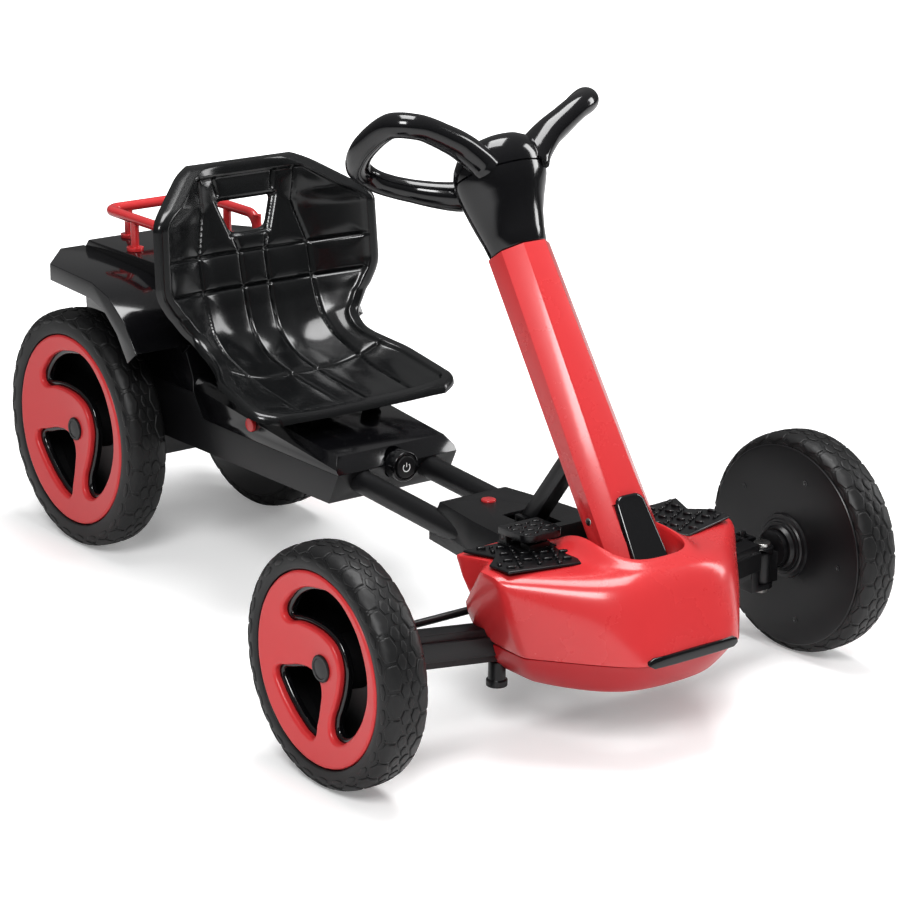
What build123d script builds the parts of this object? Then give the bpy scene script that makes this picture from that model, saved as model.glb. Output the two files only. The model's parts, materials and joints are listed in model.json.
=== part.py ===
from build123d import *
import os
from math import cos, radians, sin, tan

# A child's battery kart with a telescoping frame and a folding steering column.
# Millimetres. +Z is up, -Y is forward, +X is the driver's left. Z = 0 is the ground.
# Stations along the kart ("st") are counted rearwards from the front axle.

# ---- overall ----
wheelbase = 763.0
front_tyre_r = 122.0
rear_tyre_r = 143.0
tyre_w = 51.0
front_track = 622.0
rear_track = 256.0
nose_overhang = 172.0

# ---- shared clearances ----
running_fit = 0.08          # radial, shaft in a plain bore
free_gap = 0.5              # between faces of bodies that move past each other
seat_gap = 0.2              # between fixed pieces that only lie against each other
wall = 3.5                  # moulded plastic wall

# ---- wheels ----
front_disc_r = 97.7
rear_disc_r = 114.0
bead_step = 0.8             # the tyre's bead stands this far outside the disc's edge
tread_chamfer = 5.0
dish_wall = 4.0
dish_flange = 12.0          # how far the back flange reaches up the tyre's side
flange_t = 3.0
disc_t = 4.5
disc_dish = 9.0             # the disc's middle lies this far inside its edge
disc_flat = 0.88            # the flat edge ring starts at this share of the disc's radius
hub_r = 21.0
hub_cap_r = 13.5
hub_cap_t = 4.0
axle_r = 5.0
push_nut_r = 9.0
push_nut_t = 1.8            # the spring-steel cap that keeps a wheel on its axle

# ---- frame tubes ----
tube_r = 13.0
tube_wall = 1.5
tube_x = 46.0
tube_z_at_axle = 151.0
tube_slope = 4.0            # degrees, rising rearwards
tube_front_st = -56.0
tube_rear_st = 486.0
slide_travel = 90.0

# ---- rear housing ----
housing_front_st = 316.0
housing_seam_z = 187.0
housing_half_w = 81.0
housing_bottom_z = 151.0
lid_rear_st = 602.0
lid_slope = 6.0
lid_edge_z = 204.0          # the lid's top face at its front edge
lid_front_run = 14.0        # how far the lid's front face slants back
tail_seam_z = 214.0         # where the tub meets the rear bodywork
tail_slant = 20.0
tub_front_run = 18.0        # how far the tub's front face slants back
axle_hump = 34.0            # the tub reaches this far below the rear axle
axle_front_run = 55.0
axle_rear_run = 38.0
tub_past_axle = 52.0
side_button_st = 483.0
guide_len = 26.0
guide_stations = (338.0, 400.0)
guide_wall = 5.0

# ---- rear bodywork ----
body_half_w = 81.0
deck_z = 352.0
deck_front_st = 668.0
deck_rear_st = 842.0
fender_out_x = 159.0
fender_t = 4.0
fender_lip = 20.0
rack_r = 6.0
rack_z = 390.0
rack_half_w = 65.0
rack_front_st = 684.0
rack_rear_st = 812.0
rack_bend = 18.0

# ---- seat ----
seat_t = 6.0
seat_half_w = 155.0
seat_top_z = 478.0
back_top_st = 624.0
pan_front_st = 380.0
pan_front_z = 236.0
pan_rear_st = 568.0
pan_half_w = 137.0
post_r = 11.0
post_x = 48.0
post_stations = (430.0, 520.0)

# ---- nose ----
nose_seam_z = 110.0
nose_top_z = 195.0
nose_bottom_z = 66.0
mat_t = 3.0
beam_deep = 30.0
beam_tall = 36.0
beam_rise = 7.4             # degrees, rising towards each wheel
beam_mid_z = 87.0           # centre of the beam's section on the kart's mid plane

# ---- steering ----
kingpin_inset = 60.5        # from a front wheel's middle to its kingpin
yoke_gap = 14.5             # from a kingpin to the beam's end
kingpin_x = front_track / 2 - kingpin_inset
beam_end_x = kingpin_x - yoke_gap
kingpin_r = 5.0
ear_r = 12.5
ear_t = 6.0
ear_top_z = 128.0
ear_bottom_z = 82.0
steer_arm = 30.0            # knuckle arm, kingpin to tie rod pin
drop_arm = 28.0             # spindle arm, spindle to tie rod pin
tie_rod_r = 4.0
tie_rod_z = 128.0
tie_pin_r = 3.0
spindle_r = 6.0

# ---- steering column ----
column_lean = 56.05         # degrees above the horizontal, leaning back
fold_st = -48.0             # the fold pivot
fold_z = 225.0
column_top_s = 289.0        # distances "s" run up the column's axis from the fold pivot
column_foot_s = -64.0
column_top_r = 31.5
column_low_half_w = 38.0
column_low_half_d = 25.0
shaft_r = 5.0
ball_r = 11.0
strut_w = 20.0
strut_d = 18.0
strut_low_st = 84.0
strut_low_z = 185.0
strut_top_back = 20.0       # the strut's upper end lies this far behind the column's axis
strut_top_s = 78.3

# ---- front cover box ----
box_front_st = 47.0
box_rear_st = 192.0
box_half_w = 64.0
box_top_z = 186.0
box_bottom_z = 144.0
box_seam_z = 158.0
box_button_st = 157.0

# ---- buttons and pedal ----
power_r = 12.5
power_travel = 2.0
release_r = 8.0
release_travel = 3.0
bezel_w = 4.5
pedal_x = -80.0
pedal_w = 50.0
pedal_len = 45.0
pedal_hinge_st = 10.0
pedal_hinge_z = 206.0
pedal_pin_r = 2.5

front_axle_y = -(nose_overhang + wheelbase + rear_tyre_r) / 2 + nose_overhang
rear_axle_st = wheelbase
parts = {}


# ---- helpers ----
def at(x, station, z):
    """A point of the kart from its station behind the front axle."""
    return Vector(x, front_axle_y + station, z)


def rod(start, end, radius):
    """A round bar between two points."""
    start, end = Vector(start), Vector(end)
    run = end - start
    bar = Cylinder(radius, run.length, align=(Align.CENTER, Align.CENTER, Align.MIN))
    return Plane(origin=start, z_dir=run) * bar


def block(x0, x1, st0, st1, z0, z1):
    """A box between two corners, in stations."""
    corner = at(x0, st0, z0)
    size = at(x1, st1, z1) - corner
    low = (Align.MIN, Align.MIN, Align.MIN)
    return Pos(*corner) * Box(size.X, size.Y, size.Z, align=low)


def side_prism(points, x0, x1):
    """A (station, z) outline drawn out from x0 to x1."""
    outline = [(front_axle_y + st, z) for st, z in points]
    face = Plane.YZ.offset(min(x0, x1)) * Polygon(*outline, align=None)
    return extrude(face, amount=abs(x1 - x0), dir=(1, 0, 0))


def plan_face(half, z, grow=0.0):
    """A plan outline, mirrored from its +X half of (x, station) points, at height z."""
    right = [(x, front_axle_y + st) for x, st in half]
    left = [(-x, y) for x, y in reversed(right)]
    face = Polygon(*right, *left, align=None)
    if grow:
        face = offset(face, amount=grow, kind=Kind.INTERSECTION)
    return Plane.XY.offset(z) * face


def plan_loft(halves, heights, grow=0.0):
    """A straight-sided solid through plan outlines at several heights."""
    return loft([plan_face(h, z, grow) for h, z in zip(halves, heights)], ruled=True)


def tube_z(station):
    """Height of the frame tubes' centre line at a station."""
    return tube_z_at_axle + station * tan(radians(tube_slope))


def tube_point(x, station):
    return at(x, station, tube_z(station))


def tube_bores(radius, st0, st1):
    """The two tubes' space, for boring out what they pass through."""
    return [rod(tube_point(x, st0), tube_point(x, st1), radius) for x in (-tube_x, tube_x)]


def column_point(x, s, ahead=0.0):
    """A point s up the column's axis and ahead of it, at x."""
    up, fore = column_dirs()
    origin = at(x, fold_st, fold_z)
    return origin + up * s + fore * ahead


def column_dirs():
    lean = radians(column_lean)
    return Vector(0, cos(lean), sin(lean)), Vector(0, -sin(lean), cos(lean))


def column_plane(s):
    """A plane square to the column's axis; its own Y points ahead."""
    up, _ = column_dirs()
    return Plane(origin=column_point(0, s), x_dir=(-1, 0, 0), z_dir=up)


def fuse(first, *others):
    whole = first
    for other in others:
        whole = whole + other
    return whole


def cut(first, *others):
    rest = first
    for other in others:
        rest = rest - other
    return rest


def mirrored(solid):
    return mirror(solid, about=Plane.YZ)


def add(name, *solids):
    pieces = [s for shape in solids for s in shape.solids()]
    shape = pieces[0] if len(pieces) == 1 else Compound(children=pieces)
    parts[name] = shape


# ---- wheels ----
def turned(profile, side, track, station, axle_z):
    """A ring turned about a wheel's axle from (distance out from the tyre's middle, radius)."""
    face = Plane.XY * Polygon(*profile, align=None)
    ring = revolve(face, axis=Axis.X, revolution_arc=360)
    if side < 0:
        ring = mirrored(ring)
    return Pos(*at(side * track / 2, station, axle_z)) * ring


def disc_openings(disc_r, depth):
    """A large crescent and a small three-cornered window between the disc's arms."""
    def ring_slice(inner, outer, start, sweep):
        face = Polygon((inner, 0), (outer, 0), (outer, 1), (inner, 1), align=None)
        ring = revolve(Plane.XZ * face, axis=Axis.Z, revolution_arc=sweep)
        return Rot(0, 0, start) * extrude_up(ring, depth)

    crescent = ring_slice(disc_r * 0.30, disc_r * 0.76, -62, 150)
    window = ring_slice(disc_r * 0.40, disc_r * 0.76, 148, 62)
    return [crescent, window]


def extrude_up(ring, depth):
    """The flat ring slice drawn out to a depth on both sides of its face."""
    low = ring.faces().sort_by(Axis.Z)[0]
    return extrude(low, amount=depth, dir=(0, 0, 1), both=True)


def wheel(place, side, tyre_r, disc_r, track, station, hub_in):
    """One wheel: tyre, black dish, red disc and hub cap."""
    half = tyre_w / 2
    bead_r = disc_r + bead_step
    axle_z = tyre_r
    bore_r = axle_r + running_fit
    flange_in = -half - flange_t
    tyre = [
        (-half, bead_r), (half, bead_r), (half, tyre_r - tread_chamfer),
        (half - tread_chamfer, tyre_r), (-half + tread_chamfer, tyre_r),
        (-half, tyre_r - tread_chamfer),
    ]
    dish_out = half - disc_t
    dish = [
        (flange_in, hub_r), (-half + 1, hub_r), (-half + 1, bead_r - dish_wall),
        (dish_out, bead_r - dish_wall), (dish_out, bead_r), (-half, bead_r),
        (-half, bead_r + dish_flange), (flange_in, bead_r + dish_flange),
    ]
    hub_out = dish_out - disc_dish - seat_gap
    hub = [(-hub_in, bore_r), (hub_out, bore_r), (hub_out, hub_r), (-hub_in, hub_r)]
    add(f"tyre_{place}", turned(tyre, side, track, station, axle_z))
    shell = turned(dish, side, track, station, axle_z)
    boss = turned(hub, side, track, station, axle_z)
    add(f"rim_dish_{place}", fuse(shell, boss))
    nut_room = push_nut_r + 2
    bowl_r = hub_r + 2
    bowl_out = half - disc_dish
    disc = [
        (dish_out - disc_dish, nut_room), (bowl_out, nut_room), (bowl_out, bowl_r),
        (half, disc_flat * disc_r), (half, disc_r), (dish_out, disc_r),
        (dish_out, disc_flat * disc_r), (dish_out - disc_dish, bowl_r),
    ]
    face = turned(disc, side, track, station, axle_z)
    turn = Pos(*at(side * (track / 2 + half), station, axle_z)) * Rot(0, 90, 0)
    openings = [turn * cutter for cutter in disc_openings(disc_r, disc_dish + disc_t * 2)]
    add(f"rim_face_{place}", cut(face, *openings))
    cap_in = bowl_out - hub_cap_t / 2
    cap_out = bowl_out + 1.4
    plug_r = nut_room - 0.3
    cap = [
        (cap_out, 0.0), (cap_out, hub_cap_r - 2), (cap_out - 1, hub_cap_r), (bowl_out, hub_cap_r),
        (bowl_out, plug_r), (cap_in, plug_r), (cap_in, 0.0),
    ]
    add(f"hub_cap_{place}", turned(cap, side, track, station, axle_z))


def axle_end(side, track, station, axle_z):
    """Where the retaining nut's inner face lies, out from the kart's mid plane."""
    boss_end = tyre_w / 2 - disc_t - disc_dish - seat_gap
    return at(side * (track / 2 + boss_end + free_gap), station, axle_z)


def push_nut(face, side):
    """A thin round nut on an axle's end, its inner face at a point."""
    out = Vector(side * push_nut_t, 0, 0)
    return rod(face, face + out, push_nut_r) - rod(face - out, face + out * 2, axle_r)


hub_reach_front = (front_track / 2 - kingpin_x) - 20.5
hub_reach_rear = tyre_w / 2 + 12.0
for side, name in ((1, "left"), (-1, "right")):
    wheel(f"front_{name}", side, front_tyre_r, front_disc_r, front_track, 0.0, hub_reach_front)
    wheel(f"rear_{name}", side, rear_tyre_r, rear_disc_r, rear_track, rear_axle_st, hub_reach_rear)


# ---- rear axle ----
rear_nut_left = axle_end(1, rear_track, rear_axle_st, rear_tyre_r)
rear_nut_right = axle_end(-1, rear_track, rear_axle_st, rear_tyre_r)
nut_reach = Vector(push_nut_t, 0, 0)
rear_shaft = rod(rear_nut_right - nut_reach, rear_nut_left + nut_reach, axle_r)
add("rear_axle", rear_shaft, push_nut(rear_nut_left, 1), push_nut(rear_nut_right, -1))


# ---- frame tubes ----
for side, name in ((1, "left"), (-1, "right")):
    tube_ends = [tube_point(side * tube_x, st) for st in (tube_front_st, tube_rear_st)]
    add(f"frame_tube_{name}", rod(*tube_ends, tube_r) - rod(*tube_ends, tube_r - tube_wall))


# ---- rear housing: tub below, lid above ----
def lid_top_z(station):
    """Height of the lid's top face at a station."""
    return lid_edge_z + (station - housing_front_st - lid_front_run) * tan(radians(lid_slope))


axle_rear_st = rear_axle_st + tub_past_axle
belly_st = rear_axle_st - 95.0
hump_z = rear_tyre_r - axle_hump
tub_side = [
    (housing_front_st, housing_seam_z), (housing_front_st + tub_front_run, housing_bottom_z),
    (belly_st, housing_bottom_z - 3), (rear_axle_st - axle_front_run, hump_z),
    (rear_axle_st + axle_rear_run, hump_z), (axle_rear_st, rear_tyre_r - 8),
    (axle_rear_st, tail_seam_z), (lid_rear_st, tail_seam_z), (lid_rear_st - tail_slant, housing_seam_z),
]
tub_outer = side_prism(tub_side, -housing_half_w, housing_half_w)
front_wall_st = housing_front_st + wall
tub_hollow = [
    (front_wall_st, housing_seam_z + 40), (front_wall_st, housing_seam_z - 1),
    (front_wall_st + tub_front_run, housing_bottom_z + wall), (belly_st, housing_bottom_z + wall),
    (rear_axle_st - axle_front_run + wall, hump_z + wall), (rear_axle_st + axle_rear_run - 2, hump_z + wall),
    (axle_rear_st - wall, rear_tyre_r - 6), (axle_rear_st - wall, tail_seam_z + 41),
]
hollow = side_prism(tub_hollow, -housing_half_w + wall, housing_half_w - wall)
tub = cut(tub_outer, hollow)
guide_top_z = housing_seam_z + 8.0
for st in guide_stations:
    low = housing_bottom_z + wall - 1
    high = guide_top_z
    for x in (-tube_x, tube_x):
        reach = tube_r + guide_wall
        tub = tub + block(x - reach, x + reach, st, st + guide_len, low, high)
axle_hole = rod(at(-200, rear_axle_st, rear_tyre_r), at(200, rear_axle_st, rear_tyre_r), axle_r)
slide_room_st = tube_rear_st + slide_travel + 8
tub_room = tube_bores(tube_r + running_fit, housing_front_st - 40, slide_room_st)
power_st = housing_front_st - 9.0
power_z = housing_seam_z - 1.0
bezel_seat_r = power_r + bezel_w + seat_gap
power_socket = rod(at(0, power_st - 30, power_z), at(0, housing_front_st + 14, power_z), bezel_seat_r)
tub = cut(tub, axle_hole, power_socket, *tub_room)
add("rear_tub", tub.solids().sort_by(SortBy.VOLUME)[-1])

lid_base_z = housing_seam_z + seat_gap
lid_side = [
    (housing_front_st, lid_base_z), (housing_front_st + lid_front_run, lid_edge_z),
    (lid_rear_st - seat_gap, lid_top_z(lid_rear_st)), (lid_rear_st - seat_gap, tail_seam_z),
    (lid_rear_st - tail_slant - seat_gap, lid_base_z),
]
lid = side_prism(lid_side, -housing_half_w, housing_half_w)
bevel = 9.0
for side in (1, -1):
    rim = [
        (side * (housing_half_w + 1), lid_top_z(housing_front_st) - 12),
        (side * (housing_half_w + 1), 400), (side * (housing_half_w - bevel), 400),
        (side * (housing_half_w - bevel), lid_top_z(housing_front_st) + 1),
    ]
    rim_face = Plane(origin=at(0, housing_front_st, 0), x_dir=(1, 0, 0), z_dir=(0, -1, 0))
    rim_face = rim_face * Polygon(*rim, align=None)
    rise = Vector(0, cos(radians(lid_slope)), sin(radians(lid_slope)))
    lid = lid - extrude(rim_face, amount=400, dir=rise)
lid_wall_st = housing_front_st + lid_front_run + wall
lid_room = [
    (lid_wall_st, housing_seam_z - 5), (lid_wall_st, lid_edge_z - wall),
    (lid_rear_st + 5, lid_top_z(lid_rear_st + 5) - wall), (lid_rear_st + 5, housing_seam_z - 5),
]
lid = lid - side_prism(lid_room, -housing_half_w + bevel, housing_half_w - bevel)
lid = cut(lid, power_socket, *tube_bores(tube_r + free_gap, housing_front_st - 20, slide_room_st))
for st in guide_stations:
    for x in (-tube_x, tube_x):
        reach = tube_r + guide_wall + seat_gap
        pocket = block(x - reach, x + reach, st - seat_gap, st + guide_len + seat_gap,
                       housing_seam_z - 20, guide_top_z + seat_gap)
        lid = lid - pocket
side_button = at(-housing_half_w, side_button_st, lid_top_z(side_button_st) - 15.0)
side_axis = Vector(1, 0, 0)
side_hole = rod(side_button - side_axis * 20, side_button + side_axis * 30, release_r + free_gap)
lid = lid - side_hole
add("rear_lid", lid.solids().sort_by(SortBy.VOLUME)[-1])
add("release_button_side", rod(side_button - side_axis * 3.5, side_button + side_axis * 6.0, release_r))


# ---- power button and its bezel ----
bezel_face = at(0, power_st - 5.0, power_z)
inward = Vector(0, 1, 0)
bezel_len = 17.0
ring = cut(
    rod(bezel_face, bezel_face + inward * bezel_len, power_r + bezel_w),
    rod(bezel_face - inward * 2, bezel_face + inward * (bezel_len - 3), power_r + free_gap),
)
add("power_bezel", ring)
add("power_button", rod(bezel_face - inward * 1.0, bezel_face + inward * 9.0, power_r))


# ---- battery and gearmotor ----
battery_l, battery_w, battery_h = 148.0, 65.0, 94.0
battery_st = lid_rear_st + 14.0
battery_floor = housing_bottom_z + wall + 1
add("battery", block(-battery_l / 2, battery_l / 2, battery_st, battery_st + battery_w,
                     battery_floor, battery_floor + battery_h))
motor_st = rear_axle_st
gear_case = rod(at(-68, motor_st, rear_tyre_r), at(-26, motor_st, rear_tyre_r), 28.0)
motor_can = rod(at(-26, motor_st + 6, rear_tyre_r + 26), at(52, motor_st + 6, rear_tyre_r + 26), 18.0)
gear_web = block(-60, -26, motor_st - 14, motor_st + 24, rear_tyre_r, rear_tyre_r + 46)
axle_room = rod(at(-200, motor_st, rear_tyre_r), at(200, motor_st, rear_tyre_r), axle_r + free_gap)
add("gearmotor", cut(fuse(gear_case, gear_web, motor_can), axle_room))


# ---- rear bodywork, fenders and luggage rack ----
body_base_z = tail_seam_z + seat_gap
body_side = [
    (lid_rear_st, body_base_z), (lid_rear_st, lid_top_z(lid_rear_st)), (646.0, 322.0),
    (deck_front_st, deck_z), (deck_rear_st - 14, deck_z), (deck_rear_st, deck_z - 16),
    (deck_rear_st - 6, 250.0), (axle_rear_st, body_base_z),
]
body_room = [
    (lid_rear_st + wall, body_base_z - 5), (lid_rear_st + wall, lid_top_z(lid_rear_st)),
    (646.0 + wall, 320.0), (deck_front_st + wall, deck_z - wall), (deck_rear_st - 16, deck_z - wall),
    (deck_rear_st - wall, deck_z - 18), (deck_rear_st - 6 - wall, 251.0),
    (axle_rear_st - wall, body_base_z - 5),
]
rear_body = side_prism(body_side, -body_half_w, body_half_w)
rear_body = rear_body - side_prism(body_room, -body_half_w + wall, body_half_w - wall)
add("rear_body", rear_body)

fender_top = [
    (599.0, 273.0), (622.0, 304.0), (656.0, 328.0), (692.0, 338.0), (838.0, 344.0),
    (838.0, 344.0 - fender_t), (693.0, 338.0 - fender_t), (658.0, 324.0), (626.0, 301.0), (604.0, 271.0),
]
lip = [
    (599.0, 273.0), (622.0, 304.0), (656.0, 328.0), (692.0, 338.0), (838.0, 344.0),
    (838.0, 344.0 - fender_lip), (696.0, 338.0 - fender_lip), (666.0, 309.0), (640.0, 288.0), (618.0, 258.0),
]
for side, name in ((1, "left"), (-1, "right")):
    inner_x = side * (body_half_w + seat_gap)
    sheet = side_prism(fender_top, inner_x, side * fender_out_x)
    edge = side_prism(lip, side * (fender_out_x - fender_t), side * fender_out_x)
    root = side_prism(lip, inner_x, inner_x + side * fender_t)
    fender = fuse(sheet, edge, root)
    tail = [(fender_out_x + 5, 780), (fender_out_x + 5, 860), (body_half_w + 14, 860)]
    tail_face = Polygon(*[(side * x, front_axle_y + st) for x, st in tail], align=None)
    add(f"fender_{name}", fender - extrude(Plane.XY.offset(200) * tail_face, amount=200, dir=(0, 0, 1)))

rack_path = FilletPolyline(
    at(-rack_half_w, rack_front_st, deck_z + 1.5), at(-rack_half_w, rack_front_st, rack_z),
    at(-rack_half_w, rack_rear_st, rack_z), at(rack_half_w, rack_rear_st, rack_z),
    at(rack_half_w, rack_front_st, rack_z), at(rack_half_w, rack_front_st, deck_z + 1.5),
    radius=rack_bend,
)
rack_start = Plane(origin=rack_path @ 0, z_dir=rack_path % 0)
rack = sweep(rack_start * Circle(rack_r), path=rack_path)
foot_spots = [(x, st) for x in (-rack_half_w, rack_half_w) for st in (rack_front_st, 748.0)]
foot_spots += [(x, rack_rear_st) for x in (-34.0, 34.0)]
for x, st in foot_spots:
    pad_z = deck_z + seat_gap
    rack = rack + rod(at(x, st, pad_z + 1), at(x, st, rack_z), rack_r - 1)
    rack = rack + rod(at(x, st, pad_z), at(x, st, pad_z + 4), rack_r + 4)
add("luggage_rack", rack)


# ---- seat ----
def back_section(z, half_w, centre_st, rim_st, t):
    """A bucket-shaped band across the seat's back at one height."""
    bend = half_w * 0.52
    mid = half_w * 0.80
    mid_st = centre_st + (rim_st - centre_st) * 0.42
    front = [(0, centre_st), (bend, centre_st), (mid, mid_st), (half_w, rim_st)]
    rear_st = centre_st + t
    rear = [(half_w, rim_st + t * 1.6), (mid + t * 0.5, mid_st + t), (bend, rear_st), (0, rear_st)]
    half = front[1:] + rear[:-1]
    points = [(x, front_axle_y + st) for x, st in half]
    points += [(-x, y) for x, y in reversed(points)]
    return Plane.XY.offset(z) * Polygon(*points, align=None)


recline = tan(radians(13.3))
back_rows = [
    (seat_top_z, 80.5, 0.0), (419.0, 153.0, -50.0), (332.0, seat_half_w, -30.0), (268.0, 120.0, -14.0),
]
back_faces = []
for z, half_w, fore in back_rows:
    back_st = back_top_st - (seat_top_z - z) * recline
    back_faces.append(back_section(z, half_w, back_st, back_st + fore, seat_t))
seat_back = loft(back_faces, ruled=True)
hole_half = [(39, 431), (25, 394)]
hole = [(x, z) for x, z in hole_half] + [(-x, z) for x, z in reversed(hole_half)]
hole_plane = Plane(origin=at(0, 540, 0), x_dir=(1, 0, 0), z_dir=(0, -1, 0))
hand_hole = extrude(hole_plane * Polygon(*hole, align=None), amount=160, dir=(0, 1, 0))
seat_back = seat_back - hand_hole


def pan_section(station, half_w, floor_z, rim_z, t):
    """A shallow tray across the seat's pan at one station."""
    bend = half_w * 0.80
    half = [(bend, floor_z), (half_w, rim_z), (half_w, rim_z - t * 1.6), (bend, floor_z - t)]
    points = half + [(-x, z) for x, z in reversed(half)]
    plane = Plane(origin=at(0, station, 0), x_dir=(1, 0, 0), z_dir=(0, -1, 0))
    return plane * Polygon(*points, align=None)


pan_rows = [
    (pan_front_st, 105.0, pan_front_z, pan_front_z + 1), (pan_front_st + 10, pan_half_w, 238.0, 244.0),
    (467.0, 134.0, 247.0, 263.0), (pan_rear_st, 122.0, 262.0, 274.0), (pan_rear_st + 18, 118.0, 272.0, 282.0),
]
seat_pan = loft([pan_section(st, w, floor, rim, seat_t) for st, w, floor, rim in pan_rows], ruled=True)
add("seat", fuse(seat_back, seat_pan))

posts = []
for st in post_stations:
    pan_under = 238.0 + (st - pan_front_st - 10) * 9.0 / 77.0 - seat_t - seat_gap
    if st > 467.0:
        pan_under = 247.0 + (st - 467.0) * 15.0 / 101.0 - seat_t - seat_gap
    for x in (-post_x, post_x):
        foot = lid_top_z(st + post_r) + seat_gap
        posts.append(rod(at(x, st, foot), at(x, st, pan_under - 1.8), post_r))
add("seat_posts", *posts)


# ---- front axle beam, knuckles and kingpins ----
def beam_z(x):
    return beam_mid_z + abs(x) * tan(radians(beam_rise))


def beam_side(inset=0.0):
    """The beam's front view: two arms rising from the middle."""
    half = beam_tall / 2 - inset
    xs = (-beam_end_x, 0.0, beam_end_x)
    top = [(x, beam_z(x) + half) for x in xs]
    bottom = [(x, beam_z(x) - half) for x in reversed(xs)]
    plane = Plane(origin=at(0, 0, 0), x_dir=(1, 0, 0), z_dir=(0, -1, 0))
    return plane * Polygon(*top, *bottom, align=None)


beam_core = extrude(beam_side(), amount=beam_deep / 2 - 4, both=True)
beam_rib = extrude(beam_side(inset=8.0), amount=beam_deep / 2, both=True)
beam = fuse(beam_core, beam_rib)
for side in (1, -1):
    for z0 in (ear_bottom_z, ear_top_z - ear_t):
        ear = rod(at(side * kingpin_x, 0, z0), at(side * kingpin_x, 0, z0 + ear_t), ear_r)
        tongue_in, tongue_out = sorted((side * (beam_end_x - 6), side * kingpin_x))
        tongue = block(tongue_in, tongue_out, -ear_r, ear_r, z0, z0 + ear_t)
        beam = beam + ear + tongue
    cheek_in, cheek_out = sorted((side * (beam_end_x - 10), side * beam_end_x))
    cheek = block(cheek_in, cheek_out, -ear_r, ear_r, ear_bottom_z, ear_top_z)
    beam = beam + cheek
    beam = beam - rod(at(side * kingpin_x, 0, 60), at(side * kingpin_x, 0, 160), kingpin_r)
add("front_axle_beam", beam)

bolts = []
for x in (-kingpin_x, kingpin_x):
    shank = rod(at(x, 0, ear_bottom_z - 5.5), at(x, 0, ear_top_z + 1), kingpin_r)
    head = rod(at(x, 0, ear_top_z), at(x, 0, ear_top_z + 4.5), kingpin_r + 4)
    nut = extrude(Plane(origin=at(x, 0, ear_bottom_z - 5), z_dir=(0, 0, 1)) * RegularPolygon(8.5, 6), amount=5)
    bolts.append(fuse(shank, head, nut))
add("kingpin_bolts", *bolts)

knuckle_low = ear_bottom_z + ear_t + free_gap
knuckle_high = ear_top_z - ear_t - free_gap
flange_x = kingpin_x + ear_r + 1.5
flange_thick = 5.0
flange_r = 20.0
knuckle_r = 11.0
arm_end_r = 7.0
arm_z0, arm_z1 = 108.0, 118.0
for side, name in ((1, "left"), (-1, "right")):
    pin_x = side * kingpin_x
    barrel = rod(at(pin_x, 0, knuckle_low), at(pin_x, 0, knuckle_high), knuckle_r)
    neck_ends = sorted((pin_x, side * (flange_x + 1)))
    neck = block(*neck_ends, -10, 10, knuckle_low, knuckle_high)
    flange_in = at(side * flange_x, 0, front_tyre_r)
    flange = rod(flange_in, flange_in + Vector(side * flange_thick, 0, 0), flange_r)
    nut_face = axle_end(side, front_track, 0, front_tyre_r)
    stub = rod(flange_in, nut_face + Vector(side * push_nut_t, 0, 0), axle_r)
    arm = block(pin_x - 6, pin_x + 6, 0, steer_arm, arm_z0, arm_z1)
    arm_end = rod(at(pin_x, steer_arm, arm_z0), at(pin_x, steer_arm, arm_z1), arm_end_r)
    pin = rod(at(pin_x, steer_arm, arm_z0), at(pin_x, steer_arm, tie_rod_z + 8), tie_pin_r)
    bore = rod(at(pin_x, 0, 60), at(pin_x, 0, 160), kingpin_r + running_fit)
    knuckle = cut(fuse(barrel, neck, flange, stub, arm, arm_end, pin), bore)
    add(f"knuckle_{name}", knuckle, push_nut(nut_face, side))


# ---- tie rod, spindle and universal joint ----
drop_pin_st = fold_st + drop_arm
tie_path = Polyline(
    at(-kingpin_x + 8, steer_arm, tie_rod_z), at(-118, steer_arm, tie_rod_z), at(-62, drop_pin_st, tie_rod_z),
    at(62, drop_pin_st, tie_rod_z), at(118, steer_arm, tie_rod_z), at(kingpin_x - 8, steer_arm, tie_rod_z),
)
tie_start = Plane(origin=tie_path @ 0, z_dir=tie_path % 0)
tie_rod = sweep(tie_start * Circle(tie_rod_r), path=tie_path, transition=Transition.RIGHT)
slot_side = tie_pin_r + free_gap
eye_t = 3.0


def slotted_eye(x, station):
    """A flat eye with a fore-and-aft slot for a steering pin."""
    slot_end = 4.0
    half_w = slot_side + 5
    half_l = slot_side + slot_end + 4
    slot_l = slot_side + slot_end
    plate = block(x - half_w, x + half_w, station - half_l, station + half_l,
                  tie_rod_z - eye_t, tie_rod_z + eye_t)
    slot = block(x - slot_side, x + slot_side, station - slot_l, station + slot_l, tie_rod_z - 9, tie_rod_z + 9)
    return plate, slot


eye_spots = ((-kingpin_x, steer_arm), (0.0, drop_pin_st), (kingpin_x, steer_arm))
eyes = [slotted_eye(x, st) for x, st in eye_spots]
for plate, slot in eyes:
    tie_rod = tie_rod + plate
for plate, slot in eyes:
    tie_rod = tie_rod - slot
add("tie_rod", tie_rod)

spindle_arm_z0 = tie_rod_z + eye_t + 2.0
spindle_arm_z1 = spindle_arm_z0 + 5.0
spindle_top_z = fold_z - ball_r + 1.5
spindle = fuse(
    rod(at(0, fold_st, spindle_arm_z0), at(0, fold_st, spindle_top_z), spindle_r),
    block(-7, 7, fold_st, drop_pin_st, spindle_arm_z0, spindle_arm_z1),
    rod(at(0, drop_pin_st, spindle_arm_z0), at(0, drop_pin_st, spindle_arm_z1), 7.0),
    rod(at(0, drop_pin_st, tie_rod_z - 6), at(0, drop_pin_st, spindle_arm_z1), tie_pin_r),
)
joint_centre = at(0, fold_st, fold_z)
ball = Pos(*joint_centre) * Sphere(ball_r)
add("steering_spindle", spindle - ball)
add("universal_joint", ball)


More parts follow.
